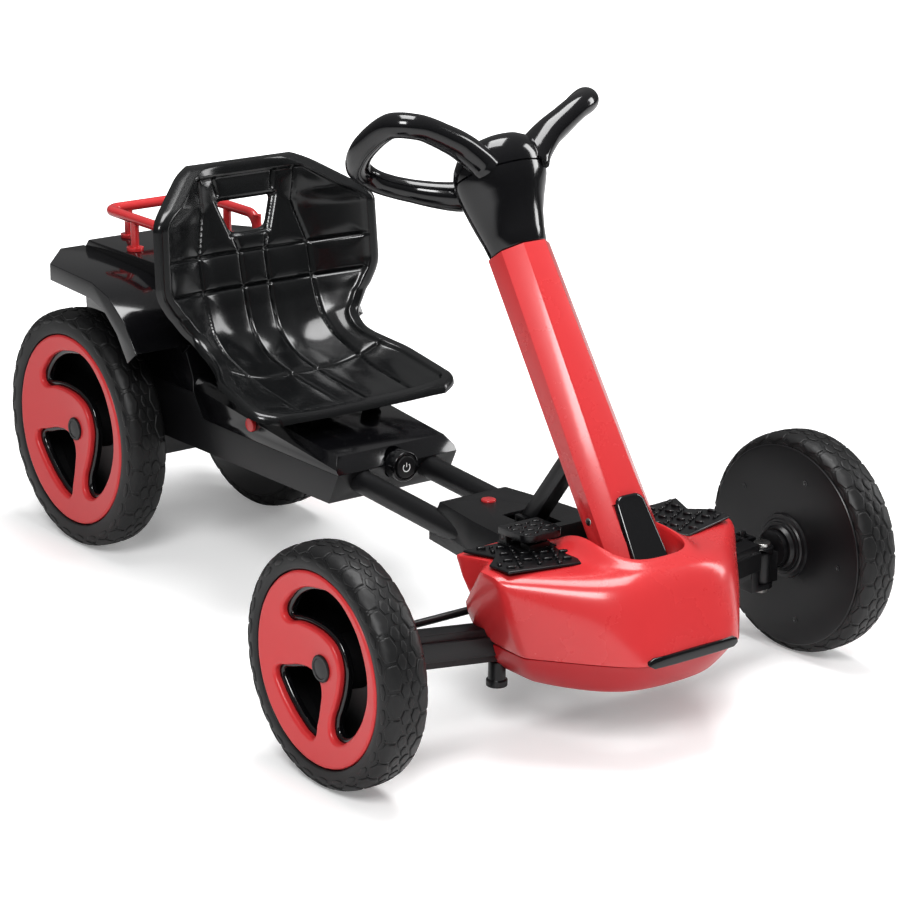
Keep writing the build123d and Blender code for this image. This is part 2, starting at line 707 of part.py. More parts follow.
# ---- front frame ----
upright_x = 29.0
upright_t = 5.0
upright_half = 8.0
bearing_z = 180.0
hanger_low_z = 76.0
frame_pieces = []
for side in (1, -1):
    x0 = side * upright_x
    upright_low_z = beam_mid_z + beam_tall / 2 + 6
    plate = [
        (fold_st - upright_half, upright_low_z), (fold_st + upright_half, upright_low_z),
        (fold_st + upright_half, fold_z), (fold_st - upright_half, fold_z),
    ]
    frame_pieces.append(side_prism(plate, x0 - upright_t / 2, x0 + upright_t / 2))
    boss_ends = [at(x, fold_st, fold_z) for x in (x0 - upright_t / 2, x0 + upright_t / 2)]
    frame_pieces.append(rod(*boss_ends, upright_half))
bearing_plate = block(-upright_x, upright_x, fold_st - upright_half, fold_st + upright_half,
                      bearing_z, bearing_z + 6)
socket_front_st, socket_rear_st = fold_st - 12.0, fold_st + 20.0
tube_socket = block(-tube_x - 17, tube_x + 17, socket_front_st, socket_rear_st, 132.0, 166.0)
hanger_half = 10.0
hanger_sides = (-tube_x - hanger_half, -tube_x + hanger_half)
hanger = block(*hanger_sides, socket_front_st, socket_front_st + 18, hanger_low_z, 140.0)
hanger_foot = block(*hanger_sides, socket_front_st, -beam_deep / 2 + 6, hanger_low_z, hanger_low_z + 32)
hangers = hanger + hanger_foot
front_frame = fuse(frame_pieces[0], *frame_pieces[1:], bearing_plate, tube_socket, hangers, mirrored(hangers))
front_frame = cut(
    front_frame,
    rod(at(0, fold_st, 170), at(0, fold_st, 200), spindle_r + running_fit),
    block(-24, 24, socket_front_st - 5, socket_rear_st + 5, 120.0, 172.0),
    extrude(beam_side(), amount=beam_deep, both=True),
    *tube_bores(tube_r, tube_front_st, socket_rear_st + 20),
)
pin_bore_r = 4.0
fold_axis_bore = rod(at(-60, fold_st, fold_z), at(60, fold_st, fold_z), pin_bore_r)
add("front_frame", front_frame - fold_axis_bore)
pin_in = upright_x - upright_t / 2
pin_out = column_low_half_w - 0.5
fold_pin = rod(at(pin_in, fold_st, fold_z), at(pin_out, fold_st, fold_z), pin_bore_r)
add("fold_pins", fold_pin, mirrored(fold_pin))

foot_x = 112.0
foot_r = 11.0
foot_z = 54.0
feet = []
for x in (-foot_x, foot_x):
    top = beam_z(x) - beam_tall / 2 - 2.5
    stem = rod(at(x, 0, foot_z + 2), at(x, 0, top), foot_r - 2)
    feet.append(fuse(stem, rod(at(x, 0, foot_z), at(x, 0, foot_z + 7), foot_r)))
add("bump_feet", *feet)


# ---- steering column ----
def column_outline(s, grow=0.0):
    """The column's eight-sided section at s, wider and flatter towards its foot."""
    share = (s - column_foot_s) / (column_top_s - column_foot_s)
    half_w = column_low_half_w + (column_top_r - column_low_half_w) * share + grow
    half_d = column_low_half_d + (column_top_r - 3 - column_low_half_d) * share + grow
    flat_w = half_w * (0.56 - 0.12 * share)
    flat_d = half_d * (0.36 + 0.08 * share)
    quarter = [(half_w, flat_d), (flat_w, half_d)]
    half = quarter + [(-x, y) for x, y in reversed(quarter)]
    points = half + [(-x, -y) for x, y in half]
    return column_plane(s) * Polygon(*points, align=None)


slot_half = strut_w / 2 + 1.5
slot_deep = 9.5
column = loft([column_outline(column_foot_s), column_outline(column_top_s - 1.0)], ruled=True)
core = loft([column_outline(column_foot_s - 4, -wall), column_outline(column_top_s - 6, -wall)], ruled=True)
low_core = core - column_plane(36.0) * Box(120, 120, 400, align=(Align.CENTER, Align.CENTER, Align.MIN))
high_core = core - column_plane(46.0) * Box(120, 120, 400, align=(Align.CENTER, Align.CENTER, Align.MAX))
column = cut(column, low_core, high_core)
slot_run = strut_top_s + 160.0
slot_low_s = 52.0
strut_slot = Plane(origin=column_point(0, slot_low_s, -slot_deep), x_dir=(1, 0, 0), z_dir=column_dirs()[0])
slot_align = (Align.CENTER, Align.MIN, Align.MIN)
strut_slot = strut_slot * Box(2 * slot_half, 60, slot_run - slot_low_s, align=slot_align)
foot_room = side_prism(
    [(fold_st - 30, fold_z - 84), (fold_st + 60, fold_z - 84), (fold_st + 60, fold_z + 22),
     (fold_st + 14, fold_z + 22), (fold_st - 14, fold_z - 30)],
    -35.0, 35.0,
)
foot_plane = side_prism([(-140, 120), (60, 120), (60, 214), (fold_st + 6, 208), (-140, 160)], -80, 80)
column = cut(
    column, strut_slot, foot_room, foot_plane,
    rod(column_point(0, 20), column_point(0, column_top_s + 5), shaft_r + running_fit),
    rod(at(-60, fold_st, fold_z), at(60, fold_st, fold_z), pin_bore_r + running_fit),
)
cover_low_s, cover_high_s = -52.0, 6.0
cover_half = 21.0
cover_sink = 2.0


def cover_plate(grow, low, high):
    """A bar along the column's flat front face."""
    front = column_low_half_d
    centre = column_point(0, cover_low_s, front)
    size = (2 * (cover_half + grow), high - low, cover_high_s - cover_low_s + 2 * grow)
    plane = Plane(origin=centre - column_dirs()[0] * grow + column_dirs()[1] * low,
                  x_dir=(-1, 0, 0), z_dir=column_dirs()[0])
    return plane * Box(*size, align=(Align.CENTER, Align.MIN, Align.MIN))


column = column - cover_plate(seat_gap, -cover_sink + 0.5, 20)
add("column_shell", column.solids().sort_by(SortBy.VOLUME)[-1])
add("column_cover", cover_plate(0.0, -cover_sink + 0.8, 3.5))

strut_foot = at(0, strut_low_st, strut_low_z)
strut_head = column_point(0, strut_top_s, -strut_top_back)
strut_dir = strut_head - strut_foot
strut_plane = Plane(origin=strut_foot, x_dir=(1, 0, 0), z_dir=strut_dir)
standing = (Align.CENTER, Align.CENTER, Align.MIN)
strut_bar = strut_plane * Box(strut_w, strut_d, strut_dir.length, align=standing)
strut_pocket = strut_plane * Pos(0, 4, 12) * Box(strut_w - 5, strut_d, strut_dir.length - 24, align=standing)
half_width = Vector(strut_w / 2, 0, 0)
strut_ends = [rod(end - half_width, end + half_width, strut_d / 2) for end in (strut_foot, strut_head)]
strut_pin_r = 4.0
pin_reach = half_width + Vector(6, 0, 0)
strut_pin = rod(strut_foot - pin_reach, strut_foot + pin_reach, strut_pin_r)
add("strut", fuse(strut_bar - strut_pocket, *strut_ends, strut_pin))


# ---- head and handles ----
def head_ring(s, half_w, half_d, ahead):
    """An oval section of the head, square to the column's axis."""
    return column_plane(s) * Pos(0, ahead) * Ellipse(half_w, half_d)


seam_s = 366.0
funnel_rings = [
    head_ring(column_top_s, column_top_r, column_top_r - 3, 0),
    head_ring(320.0, 38.0, 34.0, 2.0),
    head_ring(344.0, 47.0, 38.0, 8.0),
    head_ring(seam_s, 53.0, 40.0, 14.0),
]
dome_rings = [
    head_ring(seam_s + seat_gap, 53.0, 40.0, 14.0),
    head_ring(384.0, 50.0, 37.0, 19.0),
    head_ring(396.0, 40.0, 30.0, 23.0),
    head_ring(403.0, 24.0, 18.0, 26.0),
]
funnel = loft(funnel_rings)
dome = loft(dome_rings)
head_shaft_s = column_top_s + 40.0
shaft = rod(column_point(0, 8.0), column_point(0, head_shaft_s), shaft_r)
shaft = shaft - Pos(*joint_centre) * Sphere(ball_r + free_gap)
add("steering_shaft", shaft)
funnel = funnel - rod(column_point(0, column_top_s - 1), column_point(0, head_shaft_s), shaft_r)
handle_r = 13.0
handle_points = [(30, 135, 556), (122, 149, 611), (131, 220, 553), (104, 230, 528), (17, 173, 508)]
handle_bends = [24, 18, 20]
for side, name in ((1, "left"), (-1, "right")):
    loop = [at(side * x, st, z) for x, st, z in handle_points]
    path = FilletPolyline(*loop, radius=handle_bends)
    start = Plane(origin=path @ 0, z_dir=path % 0)
    handle = sweep(start * Circle(handle_r), path=path)
    handle = cut(handle, loft(funnel_rings), dome)
    add(f"handle_{name}", handle.solids().sort_by(SortBy.VOLUME)[-1])
add("head_funnel", funnel)
add("head_dome", dome)


# ---- front cover box ----
box_waist_st = 111.0
box_rear_half_w = 52.0
low_half = [(box_half_w + 6, box_front_st), (box_half_w, box_waist_st), (box_rear_half_w, box_rear_st)]
box_draft = 8.0
top_half = [
    (box_half_w - 2, box_front_st), (box_half_w - box_draft, box_waist_st),
    (box_rear_half_w - box_draft, box_rear_st - box_draft),
]
box_shell = plan_loft([low_half, top_half], [box_seam_z, box_top_z])
box_room = plan_loft([low_half, top_half], [box_seam_z - 0.5, box_top_z - wall], grow=-wall)
strut_well = block(-strut_w / 2 - 8, strut_w / 2 + 8, strut_low_st - 26, strut_low_st + 28,
                   strut_low_z - 14, box_top_z + 20)
button_spot = at(0, box_button_st, box_top_z)
down = Vector(0, 0, -1)
button_hole = rod(button_spot - down * 10, button_spot + down * 12, release_r + free_gap)
tube_room = tube_bores(tube_r + seat_gap, box_front_st - 20, box_rear_st + 30)
box_top = cut(box_shell, box_room, strut_well, button_hole, *tube_room)
add("slide_housing_top", box_top.solids().sort_by(SortBy.VOLUME)[-1])
box_base = plan_loft([low_half, low_half], [box_bottom_z, box_seam_z - seat_gap])
base_room = plan_loft([low_half, low_half], [box_bottom_z + wall, box_seam_z], grow=-wall)
lug = block(-strut_w / 2 - 7, -strut_w / 2 - 1, strut_low_st - 8, strut_low_st + 8,
            box_bottom_z + 1, strut_low_z + 6.5)
lugs = lug + mirrored(lug)
lugs = lugs - rod(strut_foot - pin_reach * 2, strut_foot + pin_reach * 2, strut_pin_r + running_fit)
box_base = cut(box_base, base_room) + lugs
add("slide_housing_bottom", cut(box_base, *tube_room))
add("release_button_front", rod(button_spot - down * 2.0, button_spot + down * 8.0, release_r))


# ---- nose shells, light strip and foot mats ----
seam_half = [(55.0, -nose_overhang), (127.0, -66.0), (130.0, 33.0)]
top_half = [(44.0, -104.0), (152.0, -58.0), (150.0, 26.0)]
floor_half = [(60.0, -140.0), (102.0, -56.0), (102.0, 22.0)]
fold_sweep_r = 71.0
column_room = rod(at(-48, fold_st, fold_z), at(48, fold_st, fold_z), fold_sweep_r)
beam_room = extrude(beam_side(inset=-2.0), amount=beam_deep / 2 + 2, both=True)
tie_room = block(-200, 200, steer_arm - 18, steer_arm + 18, tie_rod_z - 9, tie_rod_z + 9)
middle_room = block(-box_half_w - 9, box_half_w + 9, 20.0, 60.0, nose_bottom_z - 1, nose_top_z + 1)
upper = plan_loft([seam_half, top_half], [nose_seam_z, nose_top_z])
upper_room = plan_loft([seam_half, top_half], [nose_seam_z - 0.5, nose_top_z - wall], grow=-wall)
upper = cut(upper, upper_room, column_room, beam_room, tie_room, middle_room)
lower = plan_loft([floor_half, seam_half], [nose_bottom_z, nose_seam_z - seat_gap])
lower_room = plan_loft([floor_half, seam_half], [nose_bottom_z + wall, nose_seam_z], grow=-wall)
feet_room = [rod(at(x, 0, 40), at(x, 0, 120), foot_r + 1) for x in (-foot_x, foot_x)]
lower = cut(lower, lower_room, beam_room, middle_room, *feet_room)
strip_half = 52.0
strip_low_z, strip_high_z = nose_seam_z - 2, nose_seam_z + 10
strip_rear_st = 7.0 - nose_overhang
strip_spot = block(-strip_half, strip_half, -nose_overhang, strip_rear_st, strip_low_z, strip_high_z)
upper = upper - strip_spot
lower = lower - strip_spot
strip_fit = strip_half - seat_gap
add("nose_strip", block(-strip_fit, strip_fit, -nose_overhang, strip_rear_st - seat_gap,
                        strip_low_z + seat_gap, strip_high_z - seat_gap))
add("nose_shell_upper", upper.solids().sort_by(SortBy.VOLUME)[-1])
add("nose_shell_lower", lower.solids().sort_by(SortBy.VOLUME)[-1])

mat_outline = [
    (70.0, -78.0), (146.0, -58.0), (148.0, -30.0), (128.0, -14.0), (142.0, 20.0), (80.0, 16.0), (54.0, -44.0),
]
for side, name in ((1, "left"), (-1, "right")):
    points = [(side * x, front_axle_y + st) for x, st in mat_outline]
    mat_face = Plane.XY.offset(nose_top_z + seat_gap) * Polygon(*points, align=None)
    mat = extrude(mat_face, amount=mat_t, dir=(0, 0, 1))
    add(f"footrest_mat_{name}", mat)


# ---- accelerator pedal ----
mat_top = nose_top_z + seat_gap + mat_t
pedal_front_st = pedal_hinge_st - pedal_len
web_half = 12.0
ear_x = 16.0
pad_low = pedal_hinge_z + 5.5


def on_hinge(reach, radius):
    """A bar along the pedal's hinge axis, reaching as far each side of the pedal's middle."""
    ends = [at(pedal_x + x, pedal_hinge_st, pedal_hinge_z) for x in (-reach, reach)]
    return rod(*ends, radius)


pad = block(pedal_x - pedal_w / 2, pedal_x + pedal_w / 2, pedal_front_st, pedal_hinge_st, pad_low, pad_low + 7)
pad = fillet(pad.edges().filter_by(Axis.Z).group_by(Axis.Y)[0], radius=12)
web = block(pedal_x - web_half, pedal_x + web_half, pedal_hinge_st - 5, pedal_hinge_st + 5,
            pedal_hinge_z - 2, pad_low + 1)
add("accelerator_pedal", fuse(pad, web, on_hinge(web_half, 5.0), on_hinge(ear_x + 3, pedal_pin_r)))
bracket_front_st = pedal_front_st + 8
base = block(pedal_x - 20, pedal_x + 20, bracket_front_st, pedal_hinge_st + 7, mat_top + seat_gap, mat_top + 2)
stop = block(pedal_x - 13, pedal_x + 13, bracket_front_st + 2, bracket_front_st + 16, mat_top + 1, pad_low - 6.5)
ears = []
for ear_mid in (pedal_x - ear_x, pedal_x + ear_x):
    ears.append(block(ear_mid - 3, ear_mid + 3, pedal_hinge_st - 6, pedal_hinge_st + 6,
                      mat_top + 1, pedal_hinge_z + 3.8))
pin_bore = on_hinge(pedal_w / 2, pedal_pin_r + running_fit)
web_room = on_hinge(web_half + 0.5, 5.6)
add("pedal_bracket", cut(fuse(base, stop, *ears), pin_bore, web_room))


os.makedirs("parts", exist_ok=True)
for name, shape in parts.items():
    export_step(shape, f"parts/{name}.step")
print(len(parts), "nodes")
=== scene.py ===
import json
from math import cos, hypot, pi, radians, sin

import bmesh
import bpy
import numpy as np
from mathutils import Matrix, Vector


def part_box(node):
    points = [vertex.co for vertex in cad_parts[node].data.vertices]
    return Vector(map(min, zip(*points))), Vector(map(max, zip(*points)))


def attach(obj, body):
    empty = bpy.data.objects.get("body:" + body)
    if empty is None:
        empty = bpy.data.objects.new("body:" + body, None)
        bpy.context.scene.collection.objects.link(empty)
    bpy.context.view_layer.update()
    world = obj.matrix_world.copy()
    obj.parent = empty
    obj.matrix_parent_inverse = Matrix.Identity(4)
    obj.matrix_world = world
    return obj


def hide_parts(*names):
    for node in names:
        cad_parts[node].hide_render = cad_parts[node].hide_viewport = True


# A child's battery kart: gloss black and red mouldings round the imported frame.
# Places are given in millimetres as (x, station, z). Stations count rearwards from the front
# axle, x is towards the driver's left, z is up. Meshes are in metres.

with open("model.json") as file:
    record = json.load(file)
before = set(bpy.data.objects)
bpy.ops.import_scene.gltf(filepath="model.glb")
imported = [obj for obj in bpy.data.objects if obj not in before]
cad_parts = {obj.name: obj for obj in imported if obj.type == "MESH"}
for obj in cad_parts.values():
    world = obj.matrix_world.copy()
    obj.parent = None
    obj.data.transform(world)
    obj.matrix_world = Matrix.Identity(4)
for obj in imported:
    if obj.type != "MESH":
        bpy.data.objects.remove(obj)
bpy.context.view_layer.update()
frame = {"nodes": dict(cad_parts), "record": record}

MM = 0.001
FRONT_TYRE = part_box("tyre_front_left")
AXLE_Y = (FRONT_TYRE[0].y + FRONT_TYRE[1].y) / 2 / MM


def at(x, station, z):
    """A point of the kart, in metres."""
    return Vector((x * MM, (AXLE_Y + station) * MM, z * MM))


def ease(t):
    """A smooth step from 0 to 1."""
    t = np.clip(t, 0.0, 1.0)
    return t * t * (3 - 2 * t)


# ---- mesh helpers ----
def linked(name, mesh):
    piece = bpy.data.objects.new(name, mesh)
    bpy.context.scene.collection.objects.link(piece)
    return piece


def mesh_piece(name, points, faces, outward=True):
    """A mesh object from points in metres; outward recalculates its normals."""
    mesh = bpy.data.meshes.new(name)
    mesh.from_pydata([tuple(p) for p in points], [], faces)
    if outward:
        shape = bmesh.new()
        shape.from_mesh(mesh)
        bmesh.ops.remove_doubles(shape, verts=shape.verts, dist=1e-6)
        bmesh.ops.recalc_face_normals(shape, faces=shape.faces)
        shape.to_mesh(mesh)
        shape.free()
    mesh.update()
    return linked(name, mesh)


def modifier(piece, kind, **settings):
    made = piece.modifiers.new(kind.lower(), kind)
    for key, value in settings.items():
        setattr(made, key, value)
    return made


def baked(piece):
    """The piece with its modifiers applied, as a plain mesh."""
    bpy.context.view_layer.update()
    graph = bpy.context.evaluated_depsgraph_get()
    mesh = bpy.data.meshes.new_from_object(piece.evaluated_get(graph))
    name = piece.name
    if piece.type == "MESH":
        piece.modifiers.clear()
        piece.data = mesh
        return piece
    bpy.data.objects.remove(piece)
    return linked(name, mesh)


def rounded(piece, width, segments=3, angle=32):
    """Rounds the piece's sharp edges by a width in millimetres."""
    modifier(piece, "BEVEL", width=width * MM, segments=segments, limit_method="ANGLE",
             angle_limit=radians(angle), harden_normals=False, use_clamp_overlap=True)
    return baked(piece)


def remeshed(piece, voxel, smooth=2):
    """One closed skin over everything in the piece, with a voxel size in millimetres."""
    modifier(piece, "REMESH", mode="VOXEL", voxel_size=voxel * MM)
    if smooth:
        modifier(piece, "SMOOTH", factor=0.5, iterations=smooth)
    return baked(piece)


def joined(name, pieces):
    """Several objects' meshes in one object."""
    shape = bmesh.new()
    for piece in pieces:
        shape.from_mesh(piece.data)
    mesh = bpy.data.meshes.new(name)
    shape.to_mesh(mesh)
    shape.free()
    for piece in pieces:
        bpy.data.objects.remove(piece)
    return linked(name, mesh)


def cleaned(node):
    """A merged copy of a CAD node's mesh, for rounding."""
    mesh = frame["nodes"][node].data.copy()
    shape = bmesh.new()
    shape.from_mesh(mesh)
    bmesh.ops.remove_doubles(shape, verts=shape.verts, dist=2e-6)
    bmesh.ops.dissolve_limit(shape, angle_limit=radians(1.0), verts=shape.verts, edges=shape.edges)
    bmesh.ops.recalc_face_normals(shape, faces=shape.faces)
    shape.to_mesh(mesh)
    shape.free()
    return linked(node + "_shell", mesh)


def placed(piece, body, slot, *nodes, angle=40):
    """Smooths the piece's shading, lets it ride and hides the CAD nodes it stands for."""
    piece.data.shade_smooth()
    piece.data.set_sharp_from_angle(angle=radians(angle))
    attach(piece, body)
    if nodes:
        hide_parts(*nodes)
    return piece


def painted(piece, *materials):
    piece.data.materials.clear()
    for material in materials:
        piece.data.materials.append(material)
    return piece


def ring_grid(rings, closed_rings=True, caps=True):
    """Points and quads through rings of equal length."""
    rings = [[Vector(p) for p in ring] for ring in rings]
    count = len(rings[0])
    points = [p for ring in rings for p in ring]
    faces = []
    last = count if closed_rings else count - 1
    for r in range(len(rings) - 1):
        for i in range(last):
            j = (i + 1) % count
            faces.append((r * count + i, r * count + j, (r + 1) * count + j, (r + 1) * count + i))
    if caps:
        faces.append(tuple(reversed(range(count))))
        faces.append(tuple(range((len(rings) - 1) * count, len(rings) * count)))
    return points, faces


def loft(name, rings, caps=True):
    points, faces = ring_grid(rings, caps=caps)
    return mesh_piece(name, points, faces)


def turned(name, profile, centre, side=1, steps=96):
    """A closed profile of (outward x, radius) turned about a wheel's axle."""
    points, faces = [], []
    count = len(profile)
    for k in range(steps):
        a = 2 * pi * k / steps
        for x, r in profile:
            points.append(centre + Vector((side * x, r * sin(a), r * cos(a))) * MM)
    for k in range(steps):
        n = (k + 1) % steps
        for i in range(count):
            j = (i + 1) % count
            faces.append((k * count + i, k * count + j, n * count + j, n * count + i))
    return mesh_piece(name, points, faces)


def smooth_path(points, steps=10, closed=False):
    """A Catmull-Rom path through points."""
    pts = [np.array(p, float) for p in points]
    if closed:
        pts = [pts[-1]] + pts + pts[:2]
    else:
        pts = [2 * pts[0] - pts[1]] + pts + [2 * pts[-1] - pts[-2]]
    path = []
    for i in range(1, len(pts) - 2):
        p0, p1, p2, p3 = pts[i - 1:i + 3]
        for k in range(steps):
            t = k / steps
            path.append(0.5 * (2 * p1 + (p2 - p0) * t + (2 * p0 - 5 * p1 + 4 * p2 - p3) * t * t
                               + (3 * p1 - p0 - 3 * p2 + p3) * t ** 3))
    if not closed:
        path.append(pts[-2])
    return path


def swept(name, path, sizes, sides=20, up=(0, 0, 1)):
    """An oval tube along a path; sizes gives (half width, half height) at each path point, in mm."""
    path = [Vector(p) for p in path]
    rings = []
    normal = None
    for i, p in enumerate(path):
        along = (path[min(i + 1, len(path) - 1)] - path[max(i - 1, 0)]).normalized()
        if normal is None:
            normal = Vector(up) - along * along.dot(Vector(up))
        normal = (normal - along * along.dot(normal)).normalized()
        across = along.cross(normal)
        a, b = sizes[i]
        ring = [p + (across * (a * cos(t)) + normal * (b * sin(t))) * MM
                for t in (2 * pi * k / sides for k in range(sides))]
        rings.append(ring)
    return loft(name, rings)


def plate(name, outlines, thick, bevel, resolution=10, segments=3):
    """A flat plate in its own X-Y plane with smooth outlines; the first is the outside. In mm."""
    curve = bpy.data.curves.new(name, "CURVE")
    curve.dimensions = "2D"
    curve.fill_mode = "BOTH"
    curve.resolution_u = resolution
    curve.extrude = (thick / 2 - bevel) * MM
    curve.bevel_depth = bevel * MM
    curve.bevel_resolution = segments
    curve.offset = -bevel * MM
    for outline, soft in outlines:
        spline = curve.splines.new("BEZIER")
        spline.bezier_points.add(len(outline) - 1)
        spline.use_cyclic_u = True
        for point, (x, y) in zip(spline.bezier_points, outline):
            point.co = (x * MM, y * MM, 0)
            point.handle_left_type = point.handle_right_type = "AUTO" if soft else "VECTOR"
    return baked(linked(name, curve))


def mirror_join(name, piece):
    """The piece with its mirror image about the kart's mid plane."""
    shape = bmesh.new()
    shape.from_mesh(piece.data)
    made = bmesh.ops.duplicate(shape, geom=shape.verts[:] + shape.edges[:] + shape.faces[:])
    verts = [g for g in made["geom"] if isinstance(g, bmesh.types.BMVert)]
    faces = [g for g in made["geom"] if isinstance(g, bmesh.types.BMFace)]
    bmesh.ops.scale(shape, vec=(-1, 1, 1), verts=verts)
    bmesh.ops.reverse_faces(shape, faces=faces)
    bmesh.ops.remove_doubles(shape, verts=shape.verts, dist=1e-6)
    bmesh.ops.recalc_face_normals(shape, faces=shape.faces)
    shape.to_mesh(piece.data)
    shape.free()
    piece.name = name
    return piece


# ---- shader groups ----
def shader_group(name, inputs, outputs):
    group = bpy.data.node_groups.new(name, "ShaderNodeTree")
    for label, kind, value in inputs:
        socket = group.interface.new_socket(label, in_out="INPUT", socket_type=kind)
        socket.default_value = value
    for label, kind in outputs:
        group.interface.new_socket(label, in_out="OUTPUT", socket_type=kind)
    ends = group.nodes.new("NodeGroupInput"), group.nodes.new("NodeGroupOutput")
    return group, *ends


def shader_node(tree, kind, links=(), **settings):
    """A node with its settings, and links given as (socket, source or value)."""
    node = tree.nodes.new(kind)
    for key, value in settings.items():
        setattr(node, key, value)
    for socket, source in links:
        target = node.inputs[socket]
        if isinstance(source, bpy.types.NodeSocket):
            tree.links.new(source, target)
        else:
            target.default_value = source
    return node


def mottle_group():
    """Slow colour variation over a surface."""
    group, start, end = shader_group(
        "mottle",
        [("Colour", "NodeSocketColor", (1, 1, 1, 1)), ("Amount", "NodeSocketFloat", 0.1),
         ("Scale", "NodeSocketFloat", 12.0)],
        [("Colour", "NodeSocketColor"), ("Value", "NodeSocketFloat")])
    coords = shader_node(group, "ShaderNodeTexCoord")
    noise = shader_node(group, "ShaderNodeTexNoise", [
        ("Vector", coords.outputs["Object"]), ("Scale", start.outputs["Scale"]), ("Detail", 5.0), ("Roughness", 0.55)])
    centred = shader_node(group, "ShaderNodeMath", [(0, noise.outputs["Fac"]), (1, 0.5)], operation="SUBTRACT")
    scaled = shader_node(group, "ShaderNodeMath", [(0, centred.outputs[0]), (1, start.outputs["Amount"])],
                         operation="MULTIPLY")
    gain = shader_node(group, "ShaderNodeMath", [(0, scaled.outputs[0]), (1, 1.0)], operation="ADD")
    tinted = shader_node(group, "ShaderNodeVectorMath", [(0, start.outputs["Colour"]), ("Scale", gain.outputs[0])],
                         operation="SCALE")
    group.links.new(tinted.outputs[0], end.inputs["Colour"])
    group.links.new(noise.outputs["Fac"], end.inputs["Value"])
    return group


def grain_group():
    """The fine skin of a moulding: grain, orange peel and the roughness they give."""
    group, start, end = shader_group(
        "grain",
        [("Grain scale", "NodeSocketFloat", 900.0), ("Peel scale", "NodeSocketFloat", 60.0),
         ("Peel share", "NodeSocketFloat", 0.5), ("Roughness", "NodeSocketFloat", 0.3),
         ("Spread", "NodeSocketFloat", 0.08)],
        [("Height", "NodeSocketFloat"), ("Roughness", "NodeSocketFloat")])
    coords = shader_node(group, "ShaderNodeTexCoord")
    fine = shader_node(group, "ShaderNodeTexNoise", [
        ("Vector", coords.outputs["Object"]), ("Scale", start.outputs["Grain scale"]), ("Detail", 2.0)])
    peel = shader_node(group, "ShaderNodeTexNoise", [
        ("Vector", coords.outputs["Object"]), ("Scale", start.outputs["Peel scale"]), ("Detail", 1.0)])
    both = shader_node(group, "ShaderNodeMix", [
        ("Factor", start.outputs["Peel share"]), ("A", fine.outputs["Fac"]), ("B", peel.outputs["Fac"])])
    smear = shader_node(group, "ShaderNodeTexNoise", [
        ("Vector", coords.outputs["Object"]), ("Scale", 9.0), ("Detail", 6.0), ("Roughness", 0.65)])
    rough = shader_node(group, "ShaderNodeMath", [
        (0, smear.outputs["Fac"]), (1, start.outputs["Spread"]), (2, start.outputs["Roughness"])],
        operation="MULTIPLY_ADD")
    group.links.new(both.outputs["Result"], end.inputs["Height"])
    group.links.new(rough.outputs[0], end.inputs["Roughness"])
    return group


def wear_group():
    """Where edges are rubbed pale and scuffed, as a mask."""
    group, start, end = shader_group(
        "edge_wear", [("Amount", "NodeSocketFloat", 0.5), ("Scale", "NodeSocketFloat", 140.0)],
        [("Mask", "NodeSocketFloat")])
    coords = shader_node(group, "ShaderNodeTexCoord")
    shape = shader_node(group, "ShaderNodeNewGeometry")
    edge = shader_node(group, "ShaderNodeMapRange", [
        ("Value", shape.outputs["Pointiness"]), ("From Min", 0.53), ("From Max", 0.62)])
    broken = shader_node(group, "ShaderNodeTexNoise", [
        ("Vector", coords.outputs["Object"]), ("Scale", start.outputs["Scale"]), ("Detail", 4.0)])
    patch = shader_node(group, "ShaderNodeMapRange", [
        ("Value", broken.outputs["Fac"]), ("From Min", 0.45), ("From Max", 0.68)])
    product = shader_node(group, "ShaderNodeMath", [(0, edge.outputs[0]), (1, patch.outputs[0])], operation="MULTIPLY")
    mask = shader_node(group, "ShaderNodeMath", [(0, product.outputs[0]), (1, start.outputs["Amount"])],
                       operation="MULTIPLY", use_clamp=True)
    group.links.new(mask.outputs[0], end.inputs["Mask"])
    return group


MOTTLE, GRAIN, WEAR = mottle_group(), grain_group(), wear_group()


